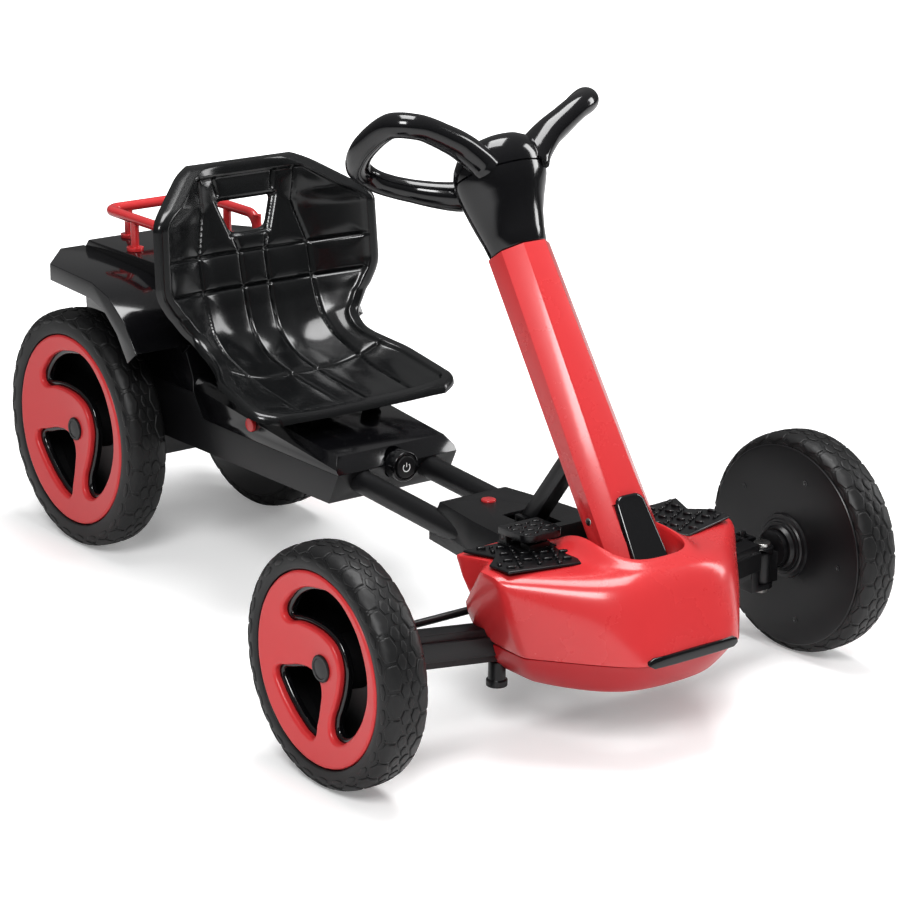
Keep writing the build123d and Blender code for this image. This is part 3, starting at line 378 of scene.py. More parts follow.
def finish(name, colour, roughness, spread=0.08, grain=900.0, peel=70.0, peel_share=0.5, depth=0.00003,
           mottle=0.12, wear=0.3, worn=None, metallic=0.0, coat=0.0, coat_roughness=0.08, specular=0.5):
    """A material from the shared groups round one shader."""
    material = bpy.data.materials.new(name)
    material.use_nodes = True
    tree = material.node_tree
    shader = tree.nodes["Principled BSDF"]
    shader.inputs["Metallic"].default_value = metallic
    shader.inputs["Coat Weight"].default_value = coat
    shader.inputs["Coat Roughness"].default_value = coat_roughness
    shader.inputs["Specular IOR Level"].default_value = specular

    def group(tree_group, **values):
        node = shader_node(tree, "ShaderNodeGroup", node_tree=tree_group)
        for key, value in values.items():
            node.inputs[key.replace("_", " ")].default_value = value
        return node

    base = group(MOTTLE, Colour=(*colour, 1), Amount=mottle, Scale=14.0)
    skin = group(GRAIN, Grain_scale=grain, Peel_scale=peel, Peel_share=peel_share,
                 Roughness=roughness - spread / 2, Spread=spread)
    rubbed = group(WEAR, Amount=wear, Scale=160.0)
    pale = worn or tuple(min(1.0, c * 1.5 + 0.02) for c in colour)
    mixed = shader_node(tree, "ShaderNodeMix", [("Factor", rubbed.outputs["Mask"])], data_type="RGBA")
    plain_colour, worn_colour = [s for s in mixed.inputs if s.type == "RGBA"]
    tree.links.new(base.outputs["Colour"], plain_colour)
    worn_colour.default_value = (*pale, 1)
    colour_out = [s for s in mixed.outputs if s.type == "RGBA"][0]
    rough = shader_node(tree, "ShaderNodeMath", [
        (0, rubbed.outputs["Mask"]), (1, 0.25), (2, skin.outputs["Roughness"])], operation="MULTIPLY_ADD")
    bump = shader_node(tree, "ShaderNodeBump", [("Height", skin.outputs["Height"]), ("Distance", depth),
                                                ("Strength", 1.0)])
    tree.links.new(colour_out, shader.inputs["Base Color"])
    tree.links.new(rough.outputs[0], shader.inputs["Roughness"])
    tree.links.new(bump.outputs["Normal"], shader.inputs["Normal"])
    return material


RED = (0.58, 0.042, 0.046)
# The moulding red darkened, to paint the shade that falls on the lower nose shell.
SHADED_RED = (0.42, 0.014, 0.020)
gloss_black = finish("gloss_black", (0.005, 0.005, 0.006), 0.14, spread=0.08, depth=0.00002, mottle=0.3, wear=0.1,
                     peel_share=0.8, coat=0.35, coat_roughness=0.06)
deep_black = finish("seat_gloss_black", (0.005, 0.0055, 0.006), 0.22, spread=0.08, depth=0.000012, mottle=0.3,
                    wear=0.05, peel_share=0.6, peel=30.0, coat=0.25, coat_roughness=0.10)
satin_black = finish("satin_black", (0.009, 0.009, 0.010), 0.36, spread=0.14, depth=0.00004, mottle=0.35, wear=0.35)
rim_black = finish("seat_rim_black", (0.010, 0.010, 0.011), 0.34, spread=0.10, depth=0.00005, mottle=0.3, wear=0.2,
                   grain=1400.0, peel_share=0.3)
red_shell = finish("red_moulding", RED, 0.27, spread=0.10, depth=0.00003, mottle=0.04, wear=0.06, coat=0.3,
                   coat_roughness=0.12, peel_share=0.7)
red_disc = finish("red_disc", RED, 0.33, spread=0.10, depth=0.00004, mottle=0.04, wear=0.06, peel_share=0.4)
# The red moulding with painted shade, for the lower nose shell.
red_painted_shade = finish("dark_red_moulding", SHADED_RED, 0.36, spread=0.12, depth=0.00005, mottle=0.04, wear=0.06)
red_paint = finish("red_rack_paint", RED, 0.25, spread=0.08, depth=0.00003, mottle=0.04, wear=0.06, coat=0.4)
rubber = finish("tyre_rubber", (0.010, 0.010, 0.0105), 0.46, spread=0.22, depth=0.00006, mottle=0.5, wear=0.4,
                worn=(0.06, 0.06, 0.062), grain=700.0, specular=0.45)
stud_rubber = finish("stud_rubber", (0.007, 0.007, 0.008), 0.30, spread=0.18, depth=0.00004, mottle=0.4, wear=0.3)
powder_coat = finish("powder_coat", (0.008, 0.008, 0.009), 0.38, spread=0.12, depth=0.00007, mottle=0.3, wear=0.3,
                     grain=1100.0, peel_share=0.6)
zinc = finish("bright_zinc", (0.62, 0.62, 0.60), 0.28, spread=0.2, metallic=1.0, depth=0.00003, mottle=0.15, wear=0.2)
symbol_white = finish("symbol_white", (0.80, 0.82, 0.82), 0.4, depth=0.00002, mottle=0.05, wear=0.0)


# ---- repeating shapes ----
def node_tree(name, inputs):
    """An empty geometry tree with named inputs and one geometry output."""
    tree = bpy.data.node_groups.new(name, "GeometryNodeTree")
    tree.interface.new_socket("Geometry", in_out="INPUT", socket_type="NodeSocketGeometry")
    for label, kind in inputs:
        tree.interface.new_socket(label, in_out="INPUT", socket_type=kind)
    tree.interface.new_socket("Geometry", in_out="OUTPUT", socket_type="NodeSocketGeometry")
    return tree, tree.nodes.new("NodeGroupInput"), tree.nodes.new("NodeGroupOutput")


def spin_tree():
    """Copies of one shape turned about an axle along X, joined to what they sit on."""
    tree, start, end = node_tree("copies_about_an_axle", [
        ("Shape", "NodeSocketObject"), ("Count", "NodeSocketInt"), ("Centre", "NodeSocketVector"),
        ("First turn", "NodeSocketFloat"), ("Material", "NodeSocketMaterial")])
    spots = shader_node(tree, "GeometryNodePoints", [
        ("Count", start.outputs["Count"]), ("Position", start.outputs["Centre"])])
    shape = shader_node(tree, "GeometryNodeObjectInfo", [("Object", start.outputs["Shape"])])
    index = shader_node(tree, "GeometryNodeInputIndex")
    step = shader_node(tree, "ShaderNodeMath", [(0, 2 * pi), (1, start.outputs["Count"])], operation="DIVIDE")
    turn = shader_node(tree, "ShaderNodeMath", [
        (0, index.outputs[0]), (1, step.outputs[0]), (2, start.outputs["First turn"])], operation="MULTIPLY_ADD")
    angle = shader_node(tree, "ShaderNodeCombineXYZ", [("X", turn.outputs[0])])
    copies = shader_node(tree, "GeometryNodeInstanceOnPoints", [
        ("Points", spots.outputs[0]), ("Instance", shape.outputs["Geometry"]), ("Rotation", angle.outputs[0])])
    real = shader_node(tree, "GeometryNodeRealizeInstances", [("Geometry", copies.outputs[0])])
    paint = shader_node(tree, "GeometryNodeSetMaterial", [
        ("Geometry", real.outputs[0]), ("Material", start.outputs["Material"])])
    both = tree.nodes.new("GeometryNodeJoinGeometry")
    tree.links.new(paint.outputs[0], both.inputs[0])
    tree.links.new(start.outputs["Geometry"], both.inputs[0])
    tree.links.new(both.outputs[0], end.inputs[0])
    return tree


def scatter_tree():
    """A copy of one shape on each point of a layout, turned by the point's own angle."""
    tree, start, end = node_tree("copies_on_points", [
        ("Shape", "NodeSocketObject"), ("Size", "NodeSocketFloat"), ("Material", "NodeSocketMaterial")])
    shape = shader_node(tree, "GeometryNodeObjectInfo", [("Object", start.outputs["Shape"])])
    angle = shader_node(tree, "GeometryNodeInputNamedAttribute", [("Name", "turn")], data_type="FLOAT")
    turn = shader_node(tree, "ShaderNodeCombineXYZ", [("Z", angle.outputs["Attribute"])])
    copies = shader_node(tree, "GeometryNodeInstanceOnPoints", [
        ("Points", start.outputs["Geometry"]), ("Instance", shape.outputs["Geometry"]),
        ("Rotation", turn.outputs[0]), ("Scale", start.outputs["Size"])])
    real = shader_node(tree, "GeometryNodeRealizeInstances", [("Geometry", copies.outputs[0])])
    paint = shader_node(tree, "GeometryNodeSetMaterial", [
        ("Geometry", real.outputs[0]), ("Material", start.outputs["Material"])])
    tree.links.new(paint.outputs[0], end.inputs[0])
    return tree


SPIN, SCATTER = spin_tree(), scatter_tree()


def repeated(piece, tree, **inputs):
    """Runs a geometry tree on the piece with inputs set by their sockets' identifiers."""
    made = piece.modifiers.new("copies", "NODES")
    made.node_group = tree
    sockets = {s.name: s.identifier for s in tree.interface.items_tree if s.in_out == "INPUT"}
    for label, value in inputs.items():
        made[sockets[label.replace("_", " ")]] = value
    return baked(piece)


def scattered(name, spots, shape, material, size=1.0):
    """Copies of a shape at (point, turn) spots."""
    mesh = bpy.data.meshes.new(name)
    mesh.from_pydata([tuple(p) for p, _ in spots], [], [])
    turn = mesh.attributes.new("turn", "FLOAT", "POINT")
    turn.data.foreach_set("value", [a for _, a in spots])
    piece = repeated(linked(name, mesh), SCATTER, Shape=shape, Size=size, Material=material)
    piece.name = name
    return piece


# ---- wheels ----
BLOCK_STAND = 0.55          # the shoulder blocks stand this far out of the tyre's side
TYRE_HALF = (FRONT_TYRE[1].x - FRONT_TYRE[0].x) / 2 / MM - BLOCK_STAND
BEAD = 0.8
TREAD_HEIGHT = 1.3
PITCHES = 28


def tyre_section(tyre_r, disc_r):
    """The tyre's outline (outward x, radius) from its inner bead over the crown to its outer bead."""
    crown_r = tyre_r - TREAD_HEIGHT
    half, bead_r = TYRE_HALF, disc_r + BEAD
    quarter = [(half - 4.0, bead_r), (half - 1.2, bead_r + 0.6), (half - 0.2, bead_r + 4.0),
               (half, bead_r + 0.35 * (crown_r - bead_r)), (half - 1.0, crown_r - 8.5), (half - 3.4, crown_r - 4.4),
               (half - 7.5, crown_r - 1.7), (half - 14.0, crown_r - 0.5), (5.0, crown_r)]
    return [(-x, r) for x, r in quarter] + [(x, r) for x, r in reversed(quarter)]


def tread_map(section):
    """A function from distance across the tread (from its middle) to (x, radius, lean)."""
    path = np.array(smooth_path(section, 8))
    run = np.concatenate([[0], np.cumsum(np.hypot(*np.diff(path, axis=0).T))])
    middle = np.interp(0.0, path[:, 0], run)

    def place(across):
        s = middle + across
        here = np.array([np.interp(s, run, path[:, k]) for k in (0, 1)])
        ahead = np.array([np.interp(s + 0.4, run, path[:, k]) for k in (0, 1)])
        behind = np.array([np.interp(s - 0.4, run, path[:, k]) for k in (0, 1)])
        tangent = (ahead - behind) / np.linalg.norm(ahead - behind)
        return here, np.array([-tangent[1], tangent[0]])

    return path, place


def tread_pad(place, tyre_r, corners, levels, per_side):
    """A raised pad on the tread: corners are (along, across) in mm, levels are (share, height)."""
    corners = np.array(corners, float)
    middle = corners.mean(0)
    edge = []
    for i in range(len(corners)):
        a, b = corners[i], corners[(i + 1) % len(corners)]
        edge += [a + (b - a) * k / per_side for k in range(per_side)]
    points, faces = [], []
    for share, height in levels:
        for p in edge:
            along, across = middle + (p - middle) * share
            (x, r), out = place(across)
            x, r = x + out[0] * height, r + out[1] * height
            turn = along / tyre_r
            points.append(Vector((x, r * sin(turn), r * cos(turn))) * MM)
    n = len(edge)
    for level in range(len(levels) - 1):
        for i in range(n):
            j = (i + 1) % n
            faces.append((level * n + i, level * n + j, (level + 1) * n + j, (level + 1) * n + i))
    faces.append(tuple((len(levels) - 1) * n + i for i in range(n)))
    return points, faces


def tread_segment(name, tyre_r, section):
    """One pitch of the tread: shoulder hexagons, small middle hexagons and paired dashes."""
    _, place = tread_map(section)
    pitch = 2 * pi * tyre_r / PITCHES
    points, faces = [], []

    def put(pad):
        offset = len(points)
        points.extend(pad[0])
        faces.extend(tuple(i + offset for i in f) for f in pad[1])

    def hexagon(along, across, half_long, half_wide, square):
        return [(along + half_long, across - half_wide * square), (along + half_long, across + half_wide * square),
                (along, across + half_wide), (along - half_long, across + half_wide * square),
                (along - half_long, across - half_wide * square), (along, across - half_wide)]

    big = [(1.0, -0.4), (0.965, 0.75), (0.90, 1.15), (0.78, 0.95), (0.45, 1.05)]
    small = [(1.0, -0.3), (0.93, 0.8), (0.78, 1.1), (0.4, 1.0)]
    for side in (1, -1):
        put(tread_pad(place, tyre_r, hexagon(0, side * 17.2, pitch * 0.455, 9.6, 0.52), big, 3))
        put(tread_pad(place, tyre_r, hexagon(pitch * 0.5, side * 5.6, pitch * 0.27, 5.4, 0.45), small, 2))
        for shift in (-1.9, 1.9):
            dash = [(pitch * 0.5 + shift + 0.7, side * 15.5), (pitch * 0.5 + shift + 0.7, side * 24.5),
                    (pitch * 0.5 + shift - 0.7, side * 24.5), (pitch * 0.5 + shift - 0.7, side * 15.5)]
            put(tread_pad(place, tyre_r, dash, [(1.0, -0.3), (0.8, 0.7)], 1))
        shoulder = hexagon(pitch * 0.5, side * 29.5, pitch * 0.33, 3.2, 0.4)
        put(tread_pad(place, tyre_r, shoulder, [(1.0, -0.3), (0.93, 0.5), (0.8, 0.7)], 2))
    put(tread_pad(place, tyre_r, hexagon(0.0, 0.0, pitch * 0.21, 3.4, 0.4), small, 2))
    return mesh_piece(name, points, faces)


def tyre(node, centre, tyre_r, disc_r, body):
    section = tyre_section(tyre_r, disc_r)
    path, _ = tread_map(section)
    inner = [(TYRE_HALF - 5.0, disc_r + BEAD + 3.0), (-TYRE_HALF + 5.0, disc_r + BEAD + 3.0)]
    casing = turned(node + "_casing", [tuple(p) for p in path[::2]] + [tuple(path[-1])] + inner, centre, steps=144)
    painted(casing, rubber)
    segment = tread_segment(node + "_segment", tyre_r, section)
    piece = repeated(casing, SPIN, Shape=segment, Count=PITCHES, Centre=tuple(centre), First_turn=0.0, Material=rubber)
    bpy.data.objects.remove(segment)
    piece.name = node + "_moulded"
    placed(piece, body, "tyre", node, angle=50)


# The disc's windows, as shares of its radius: (rearwards, up) seen from outside.
CRESCENT = [(0.60, 0.42), (0.50, 0.60), (0.29, 0.76), (0.02, 0.84), (-0.27, 0.85), (-0.56, 0.68), (-0.76, 0.38),
            (-0.83, 0.05), (-0.78, -0.20), (-0.66, -0.42), (-0.50, -0.59), (-0.34, -0.67), (-0.22, -0.64),
            (-0.18, -0.50), (-0.23, -0.34), (-0.29, -0.12), (-0.30, 0.08), (-0.20, 0.27), (-0.05, 0.35),
            (0.14, 0.385), (0.36, 0.385), (0.55, 0.36)]
WINDOW = [(0.71, -0.19), (0.55, -0.13), (0.36, -0.075), (0.20, -0.07), (0.09, -0.12), (0.02, -0.22), (0.015, -0.39),
          (0.04, -0.60), (0.07, -0.745), (0.20, -0.74), (0.36, -0.66), (0.53, -0.53), (0.66, -0.39), (0.735, -0.26)]
LIP_SHARE = 0.045           # how much smaller the black lip's openings are than the disc's
DISC_THICK = 9.0
DISC_DISH = 9.0             # the disc's middle lies this far inside its edge
LIP_BACK = 7.5              # the black lip lies this far behind the disc's face


def circle(radius, count=24):
    return [(radius * cos(2 * pi * k / count), radius * sin(2 * pi * k / count)) for k in range(count)]


def shrunk(outline, amount):
    """A closed outline moved inwards by an amount."""
    points = np.array(outline, float)
    before, after = np.roll(points, 1, 0), np.roll(points, -1, 0)
    run = after - before
    normal = np.stack([run[:, 1], -run[:, 0]], 1) / np.linalg.norm(run, axis=1, keepdims=True)
    area = np.sum(points[:, 0] * after[:, 1] - after[:, 0] * points[:, 1])
    return [tuple(p) for p in points - normal * amount * (1 if area > 0 else -1)]


def wheel_plate(name, disc_r, openings, edge_r, thick, bevel, face_x, dish, centre, side):
    """A dished plate across a wheel with smooth openings; face_x is its outer face, out from the middle."""
    outlines = [(circle(edge_r), True)] + [([(x * disc_r, y * disc_r) for x, y in o], True) for o in openings]
    flat = remeshed(plate(name, outlines, thick, bevel), 1.5, smooth=3)
    co = np.array([v.co for v in flat.data.vertices])
    radius = np.hypot(co[:, 0], co[:, 1]) / MM / edge_r
    depth = face_x - thick / 2 + co[:, 2] / MM - dish * (1 - np.clip(radius, 0, 1) ** 1.3)
    turned_co = np.stack([side * depth * MM, -side * co[:, 0], co[:, 1]], 1) + np.array(centre)
    flat.data.vertices.foreach_set("co", turned_co.ravel())
    shape = bmesh.new()
    shape.from_mesh(flat.data)
    bmesh.ops.recalc_face_normals(shape, faces=shape.faces)
    shape.to_mesh(flat.data)
    shape.free()
    return flat


def wheel(place, side, low, high, disc_low, disc_high):
    """One wheel's mouldings round its CAD bodies."""
    centre = (low + high) / 2
    tyre_r = (high.z - low.z) / 2 / MM
    disc_r = (disc_high.z - disc_low.z) / 2 / MM
    name, side_name = place.split("_")
    body = f"{name}_wheel_{side_name}"
    tyre(f"tyre_{place}", centre, tyre_r, disc_r, body)

    face = wheel_plate(f"rim_face_{place}_moulded", disc_r, [CRESCENT, WINDOW], disc_r, DISC_THICK, 2.6,
                       TYRE_HALF, DISC_DISH, centre, side)
    placed(painted(face, red_disc), body, "red_plastic", f"rim_face_{place}", angle=60)

    lip = shrunk(CRESCENT, LIP_SHARE)
    lip_window = shrunk(WINDOW, LIP_SHARE)
    insert = wheel_plate(f"rim_insert_{place}", disc_r, [lip, lip_window], disc_r - 2.0, DISC_THICK, 2.4,
                         TYRE_HALF - LIP_BACK, DISC_DISH, centre, side)
    placed(painted(insert, gloss_black), body, "black_gloss", angle=60)

    bead = disc_r + BEAD
    back = -TYRE_HALF - 3.0
    bowl = [(back + 0.6, 12.0), (back, 15.0), (back, bead + 9.0), (back + 0.5, bead + 11.2), (back + 1.4, bead + 12.0),
            (back + 2.8, bead + 11.6), (-TYRE_HALF, bead), (TYRE_HALF - 6.0, bead), (TYRE_HALF - 6.0, bead - 3.0),
            (-TYRE_HALF + 4.0, bead - 4.0), (-TYRE_HALF + 2.0, bead - 8.0), (-TYRE_HALF + 2.0, 28.0),
            (TYRE_HALF - 20.0, 25.0), (TYRE_HALF - 20.0, 12.0)]
    dish = painted(turned(f"rim_dish_{place}_moulded", bowl, centre, side, 128), satin_black)
    boss_low, boss_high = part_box(f"rim_dish_{place}")
    reach = (centre.x * side - min(boss_low.x * side, boss_high.x * side)) / MM
    collar = [(back + 0.5, 36.0), (back - 3.0, 35.0), (back - 3.4, 31.0), (back - 5.0, 29.5), (back - 5.2, 27.5),
              (back - 7.4, 27.0), (back - 7.6, 24.0), (-reach + 0.2, 22.0), (-reach + 0.2, 6.0), (back + 0.5, 6.0)]
    if reach > -back + 2:
        ribs = painted(turned(f"hub_ribs_{place}", collar, centre, side, 72), satin_black)
        dish = joined(f"rim_dish_{place}_moulded", [dish, ribs])
        painted(dish, satin_black)
    hole = [(0.0, 0.0), (0.0, 3.1), (1.0, 3.1), (1.0, 2.0), (0.4, 1.6), (0.4, 0.0)]
    points, faces = [], []
    spin = 12
    for k in range(spin):
        a = 2 * pi * k / spin
        for depth, r in hole:
            points.append(Vector((side * (back - depth * 0.7 + 0.3), r * cos(a), disc_r * 0.84 + r * sin(a))) * MM)
    for k in range(spin):
        n = (k + 1) % spin
        for i in range(len(hole) - 1):
            faces.append((k * len(hole) + i, k * len(hole) + i + 1, n * len(hole) + i + 1, n * len(hole) + i))
    screw = mesh_piece(f"screw_{place}", points, faces)
    dish = repeated(dish, SPIN, Shape=screw, Count=5, Centre=tuple(centre), First_turn=0.35, Material=gloss_black)
    bpy.data.objects.remove(screw)
    dish.name = f"rim_dish_{place}_moulded"
    placed(dish, body, "black_satin", f"rim_dish_{place}", angle=35)

    cap_out = TYRE_HALF - DISC_DISH + 3.2
    cap = [(cap_out - 5.0, 0.0), (cap_out - 5.0, 13.6), (cap_out - 0.9, 13.6), (cap_out, 12.6), (cap_out, 10.4),
           (cap_out - 0.7, 9.8), (cap_out - 0.4, 6.0), (cap_out - 0.1, 0.0)]
    piece = painted(turned(f"hub_cap_{place}_moulded", cap, centre, side, 48), satin_black)
    placed(piece, body, "black_satin", f"hub_cap_{place}", angle=35)


for end in ("front", "rear"):
    for side_name, side in (("left", 1), ("right", -1)):
        spot = f"{end}_{side_name}"
        wheel(spot, side, *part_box(f"tyre_{spot}"), *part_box(f"rim_face_{spot}"))


# ---- seat ----
# The seat's middle line as (station, z), from the back's top edge down and out along the pan.
SEAT_LINE = [(621.0, 475.5), (604.5, 405.0), (587.0, 331.0), (580.0, 305.0), (568.0, 282.0), (546.0, 265.0),
             (518.0, 256.0), (480.0, 249.5), (430.0, 243.5), (377.0, 237.0)]
# Along that line: share of its length, half width, and how far the sides stand proud of the middle.
SEAT_SHAPE = [(0.0, 79.0, 0.0), (0.142, 151.5, 44.0), (0.355, 153.5, 31.0), (0.46, 127.0, 24.0), (0.53, 114.0, 22.0),
              (0.62, 112.5, 20.0), (0.70, 121.0, 19.0), (0.755, 132.5, 15.0), (0.955, 141.0, 6.0), (1.0, 120.0, 1.0)]
SEAT_RIM = 17.0
HAND_HOLE = (431.0, 394.0)
HOLE_HALF = (39.0, 25.0)
BACK_GROOVES = (373.0, 334.0)
PAN_GROOVE_ST = 495.0


def seat_surface():
    """Position, half width, side rise and outward normal of the seat at a distance along it."""
    line = np.array(smooth_path([(0, st, z) for st, z in SEAT_LINE], 12))[:, 1:]
    run = np.concatenate([[0], np.cumsum(np.hypot(*np.diff(line, axis=0).T))])
    shape = np.array(SEAT_SHAPE)
    fine = np.linspace(0, 1, 801)
    soften = np.ones(45) / 45
    profiles = []
    for column in (1, 2):
        values = np.interp(fine, shape[:, 0], shape[:, column])
        padded = np.concatenate([2 * values[0] - values[22:0:-1], values, 2 * values[-1] - values[-2:-24:-1]])
        profiles.append(np.convolve(padded, soften, "valid"))

    def at_run(s):
        share = np.clip(s / run[-1], 0, 1)
        place = np.array([np.interp(s, run, line[:, k]) for k in (0, 1)])
        ahead = np.array([np.interp(s + 3, run, line[:, k]) - np.interp(s - 3, run, line[:, k]) for k in (0, 1)])
        ahead /= np.linalg.norm(ahead)
        normal = np.array([ahead[1], -ahead[0]])
        return place, normal, np.interp(share, fine, profiles[0]), np.interp(share, fine, profiles[1])

    return line, run, at_run


def seat():
    line, run, at_run = seat_surface()
    length = run[-1]
    back = line[:, 1] > 300
    pan = line[:, 1] < 275
    grooves = [float(np.interp(-z, -line[back, 1], run[:back.sum()])) for z in BACK_GROOVES]
    grooves.append(float(np.interp(-PAN_GROOVE_ST, -line[pan, 0], run[pan])))
    hole = [float(np.interp(-z, -line[back, 1], run[:back.sum()])) for z in HAND_HOLE]
    rows, columns = int(length / 1.7), 185
    points, on_rim = [], []
    for s in np.linspace(0, length, rows):
        place, normal, half, rise = at_run(s)
        half -= 8.0 * max(0.0, 1 - min(s, length - s) / 16.0) ** 2.2
        lean = hypot(1.0, (at_run(s + 2)[2] - at_run(s - 2)[2]) / 4.0)
        x = np.linspace(-half, half, columns)
        side = np.abs(x)
        edge = np.minimum((half - side) / lean, min(s, length - s))
        rim = ease((SEAT_RIM + 2.0 - edge) / 3.5)
        inner_half = half - SEAT_RIM * lean
        share = np.clip((side / inner_half - 0.4) / 0.6, 0, 1)
        inner = np.interp(s, [SEAT_RIM, hole[0], hole[1], grooves[0]],
                          [41.0, HOLE_HALF[0] - 3, HOLE_HALF[1] - 1, 17.5])
        outer = np.interp(s, [SEAT_RIM, SEAT_RIM + 40, grooves[0], length], [66.0, 62.0, 75.0, 78.0])
        lines = [np.abs(side - inner), np.abs(side - outer)] + [np.full(columns, abs(s - g)) for g in grooves]
        near = np.minimum.reduce(lines)
        hole_half = np.interp(s, hole, HOLE_HALF)
        past = np.maximum(side - hole_half, max(hole[0] - s, s - hole[1]))
        lip = ease((5.0 - past) / 6.0)
        pillow = 1.3 * (1 - np.exp(-(np.minimum(near, np.maximum(edge - SEAT_RIM, 0)) / 8.0) ** 2))
        cut = 3.0 * np.exp(-(near / 1.6) ** 2) * (1 - ease((8.0 - past) / 4.0))
        height = rise * share ** 1.7 + rim * 3.4 + (1 - rim) * (pillow - cut) - 4.5 * lip
        over = np.clip((8.0 - edge) / 8.0, 0, 1)
        height -= 8.0 * (1 - np.sqrt(1 - over ** 2 * 0.999))
        for across, rise_here in zip(x, height):
            points.append(at(across, place[0] + normal[0] * rise_here, place[1] + normal[1] * rise_here))
        on_rim.extend(rim > 0.5)
    faces = [(r * columns + i, r * columns + i + 1, (r + 1) * columns + i + 1, (r + 1) * columns + i)
             for r in range(rows - 1) for i in range(columns - 1)]
    piece = mesh_piece("seat_bucket", points, faces, outward=False)
    piece.data.polygons.foreach_set("material_index", [int(all(on_rim[k] for k in f)) for f in faces])
    painted(piece, deep_black, rim_black)
    if sum(p.normal.y for p in piece.data.polygons) > 0:
        piece.data.flip_normals()
    modifier(piece, "SOLIDIFY", thickness=5.5 * MM, offset=-1.0)
    piece = baked(piece)
    outline = []
    corners = [(-HOLE_HALF[0], HAND_HOLE[0]), (HOLE_HALF[0], HAND_HOLE[0]), (HOLE_HALF[1], HAND_HOLE[1]),
               (-HOLE_HALF[1], HAND_HOLE[1])]
    for k, corner in enumerate(corners):
        here = Vector(corner)
        before, after = Vector(corners[k - 1]), Vector(corners[(k + 1) % 4])
        a, b = here + (before - here).normalized() * 9, here + (after - here).normalized() * 9
        outline += [a * (1 - t) ** 2 + here * 2 * t * (1 - t) + b * t * t for t in np.linspace(0, 1, 7)]
    cutter = loft("hand_hole", [[at(x, st, z) for x, z in outline] for st in (560, 660)])
    modifier(piece, "BOOLEAN", object=cutter, operation="DIFFERENCE", solver="EXACT")
    piece = baked(piece)
    bpy.data.objects.remove(cutter)
    placed(piece, "rear_module", "black_gloss", "seat", angle=55)


seat()


# ---- finishes for the remaining CAD pieces ----
SLOT_FINISH = {"tyre": rubber, "black_gloss": gloss_black, "black_satin": satin_black, "red_plastic": red_shell,
               "black_steel": powder_coat, "red_steel": red_paint, "zinc": zinc, "grip_rubber": stud_rubber}
for part in frame["record"]["subparts"]:
    carried = frame["nodes"][part["node"]]
    painted(carried, SLOT_FINISH[part["material_slot"]])


# ---- rounded mouldings ----
BODY_OF = {node: body for body, nodes in frame["record"]["behaviour"]["bodies"].items() for node in nodes}
SLOT_OF = {part["node"]: part["material_slot"] for part in frame["record"]["subparts"]}


def stands_for(piece, node, angle=40):
    """Lets the piece ride with its CAD node's body and replace that node."""
    return placed(piece, BODY_OF[node], SLOT_OF[node], node, angle=angle)


def moulded(node, material, width):
    """A CAD node's shape with its edges rounded by a width in mm."""
    stands_for(painted(rounded(cleaned(node), width), material), node)


MOULDED = {
    "rear_tub": (satin_black, 6.0), "rear_lid": (gloss_black, 7.0), "rear_body": (gloss_black, 4.0),
    "seat_posts": (satin_black, 2.0), "slide_housing_top": (satin_black, 9.0),
    "slide_housing_bottom": (satin_black, 5.0), "column_shell": (red_shell, 5.0), "strut": (satin_black, 1.5),
    "front_axle_beam": (powder_coat, 2.0), "bump_feet": (satin_black, 1.5), "knuckle_left": (powder_coat, 1.0),
    "knuckle_right": (powder_coat, 1.0), "tie_rod": (powder_coat, 1.0), "front_frame": (powder_coat, 1.2),
    "release_button_front": (red_shell, 1.2), "release_button_side": (red_shell, 1.2),
    "power_button": (satin_black, 1.0), "power_bezel": (gloss_black, 1.2), "battery": (satin_black, 2.0),
    "gearmotor": (powder_coat, 2.0), "pedal_bracket": (satin_black, 1.0), "fold_pins": (zinc, 0.8),
    "frame_tube_left": (powder_coat, 0.5), "frame_tube_right": (powder_coat, 0.5),
    "steering_spindle": (powder_coat, 0.8), "luggage_rack": (red_paint, 0.8), "rear_axle": (zinc, 0.5),
    "kingpin_bolts": (zinc, 0.8), "fender_left": (gloss_black, 3.0), "fender_right": (gloss_black, 3.0),
}
for node, (material, width) in MOULDED.items():
    moulded(node, material, width)


# ---- nose shells ----
# Rings of the upper shell from its seam up to the collar round the column, right half, (x, st, z).
NOSE_UPPER = [
    [(0, -167, 113), (64, -174, 114), (99, -117, 110), (132, -66, 108), (130, 16, 108)],
    [(0, -157, 150), (68, -163, 150), (117, -110, 150), (151, -64, 150), (150, 4, 150), (137, 12, 152),
     (143, 20, 174), (118, 31, 170), (80, 31, 170)],
    [(0, -144, 185), (66, -150, 185), (113, -100, 188), (156, -58, 193), (158, -28, 193), (133, -12, 194),
     (147, 26, 193), (112, 31, 193), (80, 31, 193)],
    [(0, -137, 196), (48, -138, 196), (86, -96, 194.8), (110, -58, 194.6), (112, -34, 194.6), (106, -12, 194.6),
     (110, 14, 194.6), (94, 18, 194.6), (78, 20, 194.6)],
    [(0, -133, 197.5), (43, -131, 197.5), (66, -98, 195.4), (64, -58, 194.6), (63, -32, 194.6), (62, -12, 194.6),
     (62, 8, 194.6), (65, 14, 194.6), (68, 19, 194.6)],
    [(0, -128, 202), (38, -125, 202), (54, -93, 205), (51, -57, 210), (51, -30, 208), (52, -10, 197),
     (53, 5, 194.6), (56, 12, 194.6), (60, 18, 194.6)],
    [(0, -121, 203), (34, -118, 203), (47, -92, 207), (44, -57, 213), (44, -30, 210), (46, -8, 197.5),
     (47, 5, 194.6), (48, 12, 194.6), (50, 18, 194.6)],
    [(0, -120.5, 168), (34, -117, 168), (46, -92, 168), (43.5, -57, 168), (43.5, -30, 168), (45.5, -12, 168),
     (47.5, 5, 168), (48, 12, 168), (49, 18, 168)],
]
